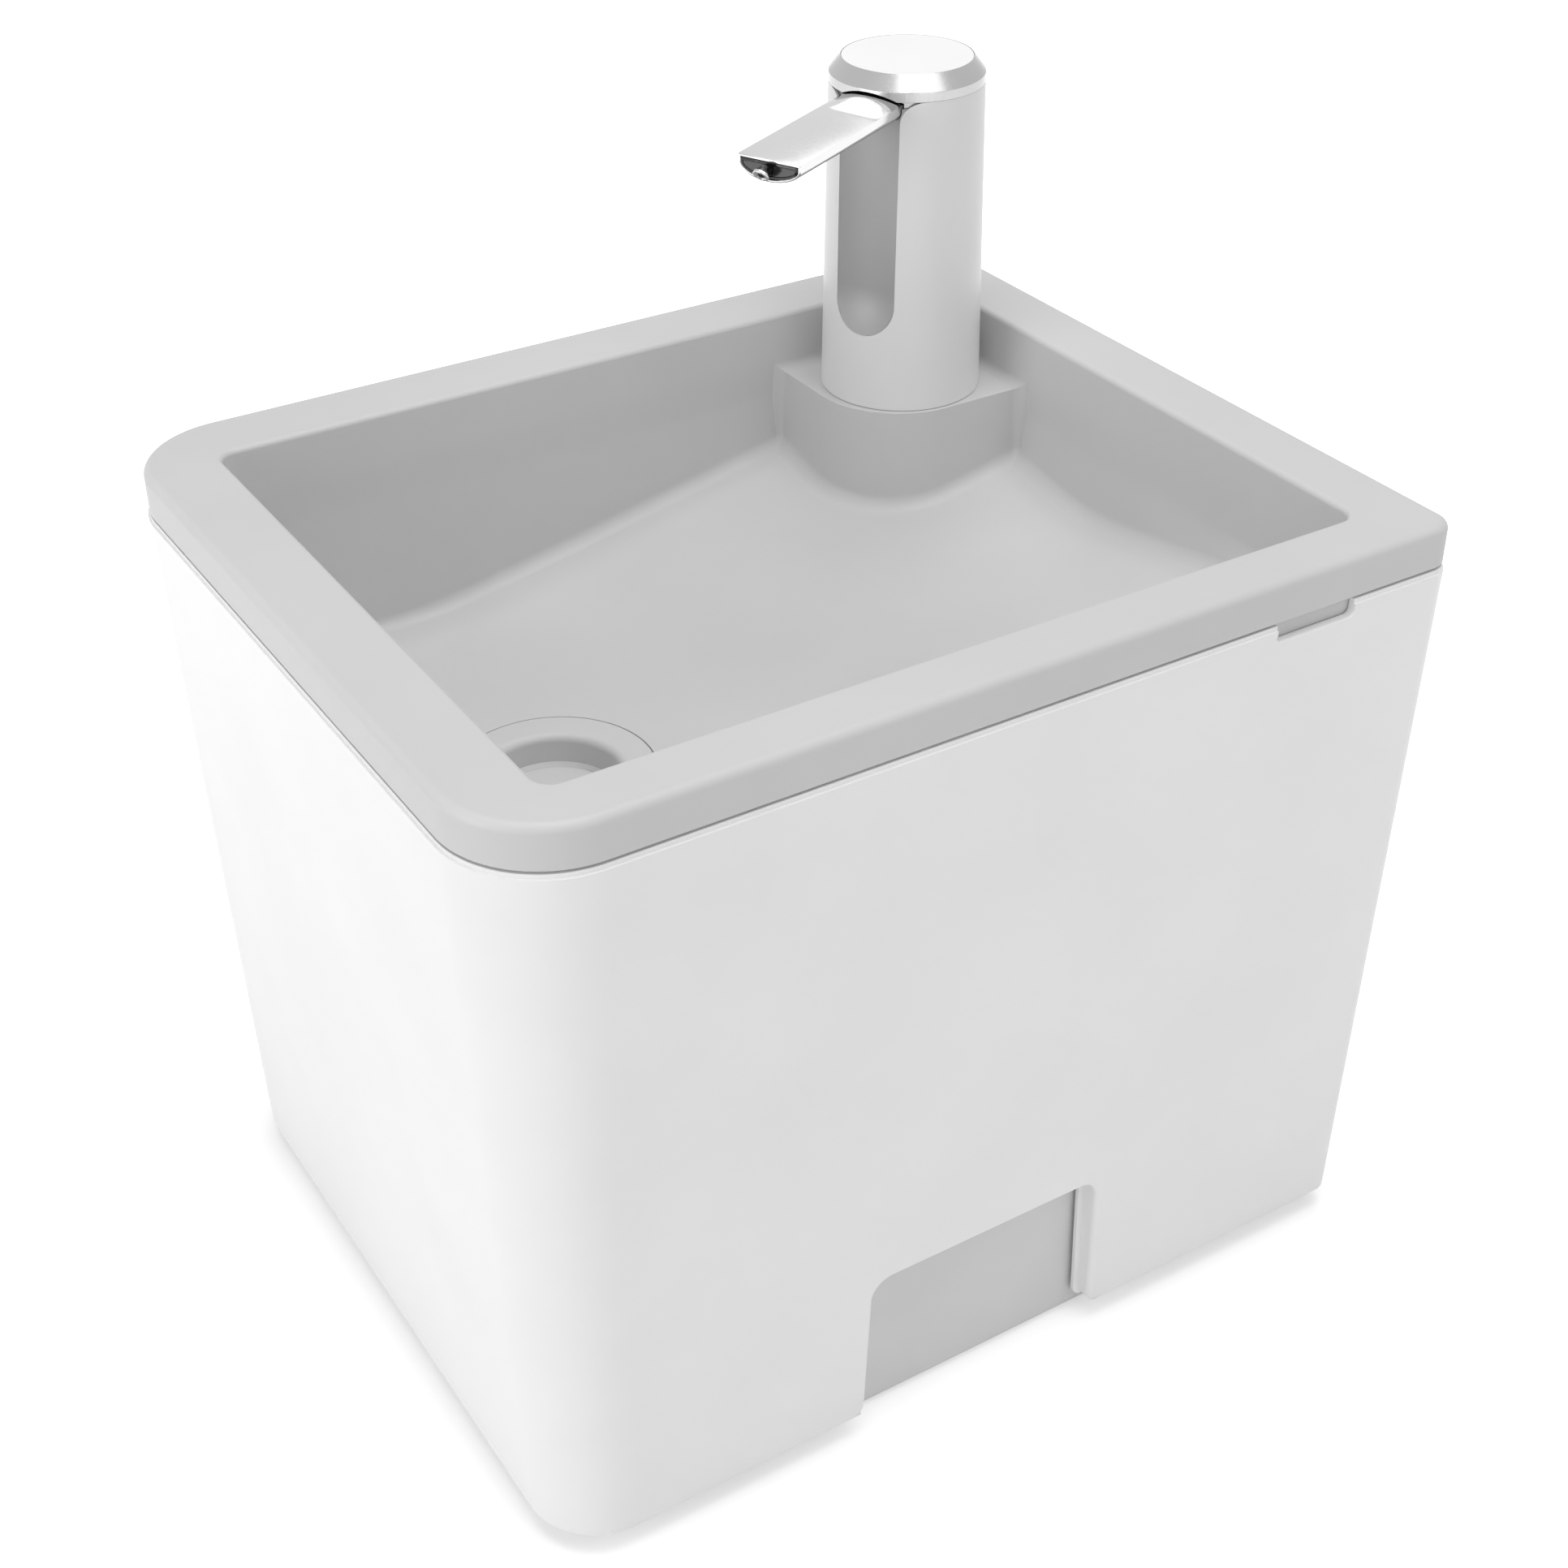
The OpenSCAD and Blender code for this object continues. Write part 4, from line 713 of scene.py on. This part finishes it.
def sleeve_r(z):
    """Outer radius of the tapered sleeve at a height."""
    return mix(TAP_R, TAP_TOP_R, (z - TAP_Z) / (SLEEVE_TOP - TAP_Z))


def port_space(name):
    """Room for the charging flap, through the sleeve and a little into the core."""
    z = TAP_Z + PORT_Z
    x0 = -sleeve_r(z) - OVER
    x1 = x0 + OVER + SLEEVE_WALL + CORE_GAP + PORT_SINK + FLAP_W ** 2 / (8 * TAP_R)
    half = FLAP_W / 2 + FLAP_GAP
    low = z - FLAP_H / 2 - FLAP_GAP
    return box(name, (x0, -half, low), (x1, half, low + FLAP_H + 2 * KNUCKLE_R + 2 * FLAP_GAP))


def slot_section(grow):
    """Front opening of the sleeve in Y and Z: a round lower end and flared upper corners."""
    half, low, r = FRONT_SLOT_W / 2 + grow, TAP_Z + FRONT_SLOT_Z - grow, FLARE_R
    flare_z, top = SLEEVE_TOP - r, SLEEVE_TOP + OVER
    section = [(half * math.cos(a), low + half + half * math.sin(a)) for a in arc(180, 360, 24)]
    section += [(half + r * (1 + math.cos(a)), flare_z + r * math.sin(a)) for a in arc(180, 90, 12)]
    section += [(half + r, top), (-half - r, top)]
    return section + [(-half - r * (1 - math.cos(a)), flare_z + r * math.sin(a)) for a in arc(90, 0, 12)]


def tap_sleeve():
    low = STEP_Z + SLEEVE_LIFT
    obj = revolve("sleeve_shell", [
        (TAP_R - SLEEVE_WALL, low), (TAP_R - EDGE, low), (TAP_R, low + EDGE),
        (TAP_TOP_R, SLEEVE_TOP - EDGE), (TAP_TOP_R - EDGE, SLEEVE_TOP),
        (TAP_TOP_R - SLEEVE_WALL, SLEEVE_TOP)], 192)
    carve(obj, prism_x("front_space", slot_section(0), 0, TAP_R + OVER), port_space("port_space"))
    finish(obj, "tap", ["tap_sleeve"], "pearl", bevel=0.22, place=AT_TAP)


def spout_section(arch, grow, steps=24):
    """Section of the spout in Y and Z: a low arch over a half ellipse, grown all round by grow."""
    half, low = SPOUT_W / 2 + grow, SPOUT_H - SPOUT_SIDE_H + grow
    over = [(half * math.cos(a), grow + arch * math.sin(a) ** 2) for a in arc(0, 180, steps)]
    below = [(half * math.cos(a), -SPOUT_SIDE_H - low * math.sin(a)) for a in arc(180, 0, steps)]
    return over + below


def spout_ring(t, grow, shift=0.0):
    """Ring of the spout from its root at 0 to its tip at 1, where its end is bowed."""
    arch = mix(ROOT_ARCH, TIP_ARCH, max(0, min(1, (t - ARCH_START) / (ARCH_END - ARCH_START))))
    bow = TIP_BOW * max(0, (t - BOW_START) / (1 - BOW_START))
    return [(mix(SPOUT_ROOT, SPOUT_REACH, t) + shift + bow * (1 - (2 * y / SPOUT_W) ** 2), y,
             SPOUT_Z - SPOUT_FALL * t + z) for y, z in spout_section(arch, grow)]


def spout_space(name):
    """Room for the spout's root in the core and the cap."""
    section = [(y, SPOUT_Z + z) for y, z in spout_section(ROOT_ARCH, SLIP)]
    return prism_x(name, section, CORE_BORE_R - OVER, TAP_R + OVER)


def tap_core():
    """Grey column with an insert that fills the sleeve's slot, and a flute cut along the taper."""
    low, high = TAP_Z + BASE_T, SLEEVE_TOP - CAP_WEB_T

    def column(name, bore_r, inset):
        return revolve(name, [(bore_r, low), (sleeve_r(low) - inset, low), (sleeve_r(high) - inset, high),
                              (bore_r, high)], 192)
    obj = column("core_column", CORE_BORE_R, SLEEVE_WALL + CORE_GAP)
    carve(obj, port_space("port_space"))
    insert = column("core_insert", CORE_BORE_R + 1, INSERT_SINK)
    boolean(insert, "INTERSECT", prism_x("insert_space", slot_section(-INSERT_SINK), 0, TAP_R + OVER))
    boolean(obj, "UNION", insert)
    half = FRONT_SLOT_W / 2 + FLUTE_OVER
    sag = math.sqrt(TAP_TOP_R ** 2 - half ** 2) - FLUTE_FLOOR
    r = (half ** 2 + sag ** 2) / (2 * sag)
    end = math.sqrt(r ** 2 - (r - TAP_TOP_R + FLUTE_FLOOR) ** 2)
    ball = [(r * math.cos(a), r * math.sin(a)) for a in arc(-89.9, 0, 40)]
    flute = revolve("flute_space", [(0.01, -r)] + ball + [(r, TAP_TOP), (0.01, TAP_TOP)], 256)
    low_z = TAP_Z + FRONT_SLOT_Z + end
    lean = math.atan2(TAP_R - TAP_TOP_R, SLEEVE_TOP - TAP_Z)
    x = FLUTE_FLOOR + r + sleeve_r(low_z) - TAP_TOP_R
    flute.data.transform(Matrix.Translation((x * MM, 0, low_z * MM)) @ Matrix.Rotation(-lean, 4, "Y"))
    carve(obj, flute, spout_space("root_space"))
    finish(obj, "tap", ["tap_core"], "flute", bevel=0.08, place=AT_TAP)


def tap_cap():
    web_top = TAP_TOP - BUTTON_T - BUTTON_TRAVEL - SLIP
    web_low, seat_z, rim_r = web_top - CAP_WEB_T, SLEEVE_TOP - CAP_WEB_T, BUTTON_R + BUTTON_GAP
    inner, top_r = PLUNGER_R + SLIP, TAP_TOP_R - SLEEVE_WALL - CORE_GAP
    obj = revolve("cap_ring", rounded([
        (inner, web_low), (CORE_BORE_R, web_low, 0), (CORE_BORE_R, seat_z, 0), (top_r, seat_z, 0),
        (top_r, SLEEVE_TOP, 0), (TAP_TOP_R, SLEEVE_TOP, 0.15), (TAP_TOP_R, TAP_TOP - CAP_BAND, 0.5),
        (CAP_TOP_R, TAP_TOP, 0.08), (rim_r, TAP_TOP, 0.04), (rim_r, web_top, 0), (inner, web_top)],
        EDGE), 256)
    carve(obj, spout_space("root_space"))
    finish(obj, "tap", ["tap_cap"], "satin", place=AT_TAP, sharp=28)
    low = TAP_TOP - BUTTON_T
    button = revolve("button_disc", rounded([
        (0.01, PLUNGER_LOW, 0), (PLUNGER_R, PLUNGER_LOW), (PLUNGER_R, low, 0), (BUTTON_R, low),
        (BUTTON_R, TAP_TOP, 0.35), (0.01, TAP_TOP, 0)], EDGE), 192)
    finish(button, "button", ["tap_button"], "white", place=AT_TAP)


def nozzle_place():
    """From the nozzle's own axis, along Z from its face inwards, to its place."""
    return (Matrix.Translation((NOZZLE_X * MM, 0, NOZZLE_Z * MM))
            @ Matrix.Rotation(math.radians(NOZZLE_TILT - 90), 4, "Y"))


def neck_rod(name, x0, r, steps=64):
    """Level rod with a round end, from x0 to where the nozzle's neck turns down."""
    tilt = math.radians(NOZZLE_TILT)
    turn_x, turn_z = NOZZLE_X - NOZZLE_TURN * math.cos(tilt), NOZZLE_Z + NOZZLE_TURN * math.sin(tilt)
    ball = [(r * math.cos(a), turn_x + r * math.sin(a)) for a in arc(0, 89, 16)]
    rod = revolve(name, [(0.01, x0), (r, x0)] + ball + [(0.01, turn_x + r)], steps)
    rod.data.transform(Matrix.Translation((0, 0, turn_z * MM)) @ Matrix.Rotation(math.pi / 2, 4, "Y"))
    return rod


def clear_middle(bm):
    """Deletes the sliver that the neck's room leaves in the middle of the glass."""
    middle = [v for v in bm.verts if abs(v.co.y) < EDGE * MM]
    bmesh.ops.delete(bm, geom=middle, context="VERTS")


def tap_spout():
    stations = [0, 0.04, 0.08, 0.12, 0.16, 0.2, 0.24, 0.27, 0.3, 0.5, 0.7, 0.85, 0.88, 0.91, 0.94, 0.97]
    rings = [spout_ring(t, 0) for t in stations]
    rings += [spout_ring(1, -SPOUT_EDGE_R * (1 - math.cos(a)), -SPOUT_EDGE_R * (1 - math.sin(a)))
              for a in arc(0, 90, 4)]
    rings += [spout_ring(1, grow, shift) for grow, shift in
              ((-WINDOW_RIM + EDGE, 0), (-WINDOW_RIM, -EDGE), (-WINDOW_RIM, -WINDOW_T))]
    obj = carve(loft("spout_shell", rings), neck_rod("neck_space", NECK_SPACE_X, NECK_ROD_R + 0.1))
    finish(obj, "tap", ["tap_spout"], "chrome", place=AT_TAP, sharp=40)

    outer, back = -WINDOW_RIM - WINDOW_GAP, WINDOW_GAP - WINDOW_T
    inner = outer - BEZEL_W
    # Black ring round the glass, BEZEL_W wide: a bezel whose black also paints the shade in the gap of the
    # window's recess
    window = loft("window_bezel_and_gap_shade", [spout_ring(1, grow, shift) for grow, shift in (
        (outer, back), (outer, -0.25), (outer - EDGE, -BEZEL_SINK),
        (inner, -BEZEL_SINK), (inner - 0.15, -0.3), (inner - 0.15, back))], looped=True)
    neck_r, neck_low = NOZZLE_R - 0.3, RING_LEN - 0.3
    neck = revolve("neck_end", [
        (0.01, neck_low), (neck_r, neck_low), (neck_r, NOZZLE_TURN), (0.01, NOZZLE_TURN)], 64)
    neck.data.transform(nozzle_place())
    boolean(window, "UNION", neck_rod("neck_level", NECK_X, NECK_ROD_R), neck)
    finish(window, "tap", ["sensor_window"], "bezel_and_gap_shade", place=AT_TAP, sharp=40)
    glass = loft("window_glass", [spout_ring(1, inner - 0.2, shift) for shift in (back, -0.35)])
    carve(glass, neck_rod("neck_space", NECK_SPACE_X, NECK_ROD_R + 0.15))
    edit(glass, clear_middle)
    finish(glass, "tap", ["sensor_window"], "glass", place=AT_TAP, sharp=40)

    nozzle = revolve("nozzle_ring", rounded([
        (0.01, FACE_SINK, 0), (FACE_R, FACE_SINK, 0.15), (FACE_R, 0.0, 0.15), (NOZZLE_R, 0.0, 0.3),
        (NOZZLE_R, RING_LEN, 0.15), (0.01, RING_LEN, 0)], 0.1, 5), 96)
    nozzle.data.transform(nozzle_place())
    finish(nozzle, "tap", ["spout_nozzle"], "chrome", place=AT_TAP)


# Build

shell()
basin()
drain()
waste_tank()
fresh_tank()
tap_sleeve()
tap_core()
tap_cap()
tap_spout()

for node, body, material, bevel in [
        ("tank_feet", "base", "rubber", 0.5), ("tank_cap", "filler_cap", "white", 0.4),
        ("cap_gasket", "filler_cap", "rubber", 0.2), ("drain_gasket", "bowl", "rubber", 0.4),
        ("drain_nut", "bowl", "nylon", 0.5), ("tailpipe", "bowl", "nylon", 0.4),
        ("plug_seal", "plug", "rubber", 0.2), ("plug_stem", "plug", "nylon", 0.4),
        ("tap_seal", "bowl", "rubber", 0.2), ("mount_washer", "bowl", "rubber", 0.3),
        ("tap_base", "tap", "steel", 0.3), ("lock_nut", "tap", "nylon", 0.4),
        ("outlet_tube", "tap", "silicone", 0), ("tap_chassis", "tap", "dark", 0.3),
        ("pump_motor", "tap", "steel", 0.6), ("pump_head", "tap", "dark", 0.5),
        ("battery_cell", "tap", "cell", 0.6), ("circuit_board", "tap", "board", 0.1),
        ("charge_socket", "tap", "steel", 0.1), ("port_cover", "flap", "pearl", 0.12),
        ("button_pad", "tap", "silicone", 0.3), ("suction_tube", "tap", "silicone", 0.1),
        ("suction_filter", "tap", "dark", 0.2)]:
    soften(node, body, material, bevel)


# Stage, light and camera

def seen_directly(tree):
    """1 for rays from the camera, a mirror or through glass, and 0 for the light on the object."""
    rays = tree.nodes.new("ShaderNodeLightPath")
    seen = rays.outputs["Is Camera Ray"]
    for kind in ("Is Glossy Ray", "Is Transmission Ray"):
        either = tree.nodes.new("ShaderNodeMath")
        either.operation = "MAXIMUM"
        tree.links.new(seen, either.inputs[0])
        tree.links.new(rays.outputs[kind], either.inputs[1])
        seen = either.outputs[0]
    return seen


def ground():
    """Pale floor that keeps the object's shadow and glows more the further it is from the object."""
    h = GROUND_HALF
    mesh = bpy.data.meshes.new("ground")
    mesh.from_pydata([(-h, -h, 0), (h, -h, 0), (h, h, 0), (-h, h, 0)], [], [(0, 1, 2, 3)])
    obj = bpy.data.objects.new("ground", mesh)
    bpy.context.scene.collection.objects.link(obj)
    m = Nodes("ground")
    m.tree.nodes.remove(m.shader)
    diffuse = m.add("ShaderNodeBsdfDiffuse", Color=GROUND_COLOUR)
    glow = m.add("ShaderNodeEmission", Color=(1, 1, 1, 1))
    place = m.add("ShaderNodeNewGeometry")
    away = m.add("ShaderNodeVectorMath", operation="LENGTH")
    m.link(place.outputs["Position"], away.inputs[0])
    reach = m.add("ShaderNodeMapRange")
    for socket, value in zip(("From Min", "From Max", "To Min", "To Max"), GROUND_GLOW):
        reach.inputs[socket].default_value = value
    m.link(away.outputs["Value"], reach.inputs["Value"])
    level = m.add("ShaderNodeMath", operation="MULTIPLY")
    m.link(seen_directly(m.tree), level.inputs[0])
    m.link(reach.outputs["Result"], level.inputs[1])
    m.link(level.outputs[0], glow.inputs["Strength"])
    both = m.add("ShaderNodeAddShader")
    m.link(diffuse.outputs[0], both.inputs[0])
    m.link(glow.outputs[0], both.inputs[1])
    m.link(both.outputs[0], m.tree.nodes["Material Output"].inputs["Surface"])
    mesh.materials.append(m.material)


def sky():
    """Soft light of SKY_LEVEL from all round, which is seen as plain white."""
    world = bpy.data.worlds.new("studio")
    bpy.context.scene.world = world
    world.use_nodes = True
    nodes, links = world.node_tree.nodes, world.node_tree.links
    light, white = nodes["Background"], nodes.new("ShaderNodeBackground")
    for node, strength in ((light, SKY_LEVEL), (white, 1.0)):
        node.inputs["Color"].default_value = (1, 1, 1, 1)
        node.inputs["Strength"].default_value = strength
    both = nodes.new("ShaderNodeMixShader")
    links.new(seen_directly(world.node_tree), both.inputs["Fac"])
    links.new(light.outputs[0], both.inputs[1])
    links.new(white.outputs[0], both.inputs[2])
    links.new(both.outputs[0], nodes["World Output"].inputs["Surface"])


def lamp(name, place, size, power):
    data = bpy.data.lights.new(name, "AREA")
    data.shape, data.size, data.energy = "SQUARE", size, power
    obj = bpy.data.objects.new(name, data)
    bpy.context.scene.collection.objects.link(obj)
    obj.location = place
    obj.rotation_euler = (Vector(LAMP_AIM) - Vector(place)).to_track_quat("-Z", "Y").to_euler()


def camera():
    yaw, pitch, roll = (math.radians(a) for a in CAMERA_TURN)
    forward = Vector((math.cos(yaw) * math.cos(pitch), math.sin(yaw) * math.cos(pitch), -math.sin(pitch)))
    side = Vector((math.sin(yaw), -math.cos(yaw), 0))
    down = forward.cross(side)
    right = side * math.cos(roll) + down * math.sin(roll)
    up = side * math.sin(roll) - down * math.cos(roll)
    data = bpy.data.cameras.new("camera")
    data.sensor_width, data.lens = SENSOR_W, FOCAL_PX / FRAME_PX * SENSOR_W
    data.clip_start, data.clip_end = 0.01, 50
    obj = bpy.data.objects.new("camera", data)
    bpy.context.scene.collection.objects.link(obj)
    turn = Matrix((right, up, -forward)).transposed().to_4x4()
    obj.matrix_world = Matrix.Translation(Vector(CAMERA_PLACE) * MM) @ turn
    bpy.context.scene.camera = obj


bpy.context.scene.view_settings.view_transform = "Standard"
ground()
sky()
for settings in LAMPS:
    lamp(*settings)
camera()
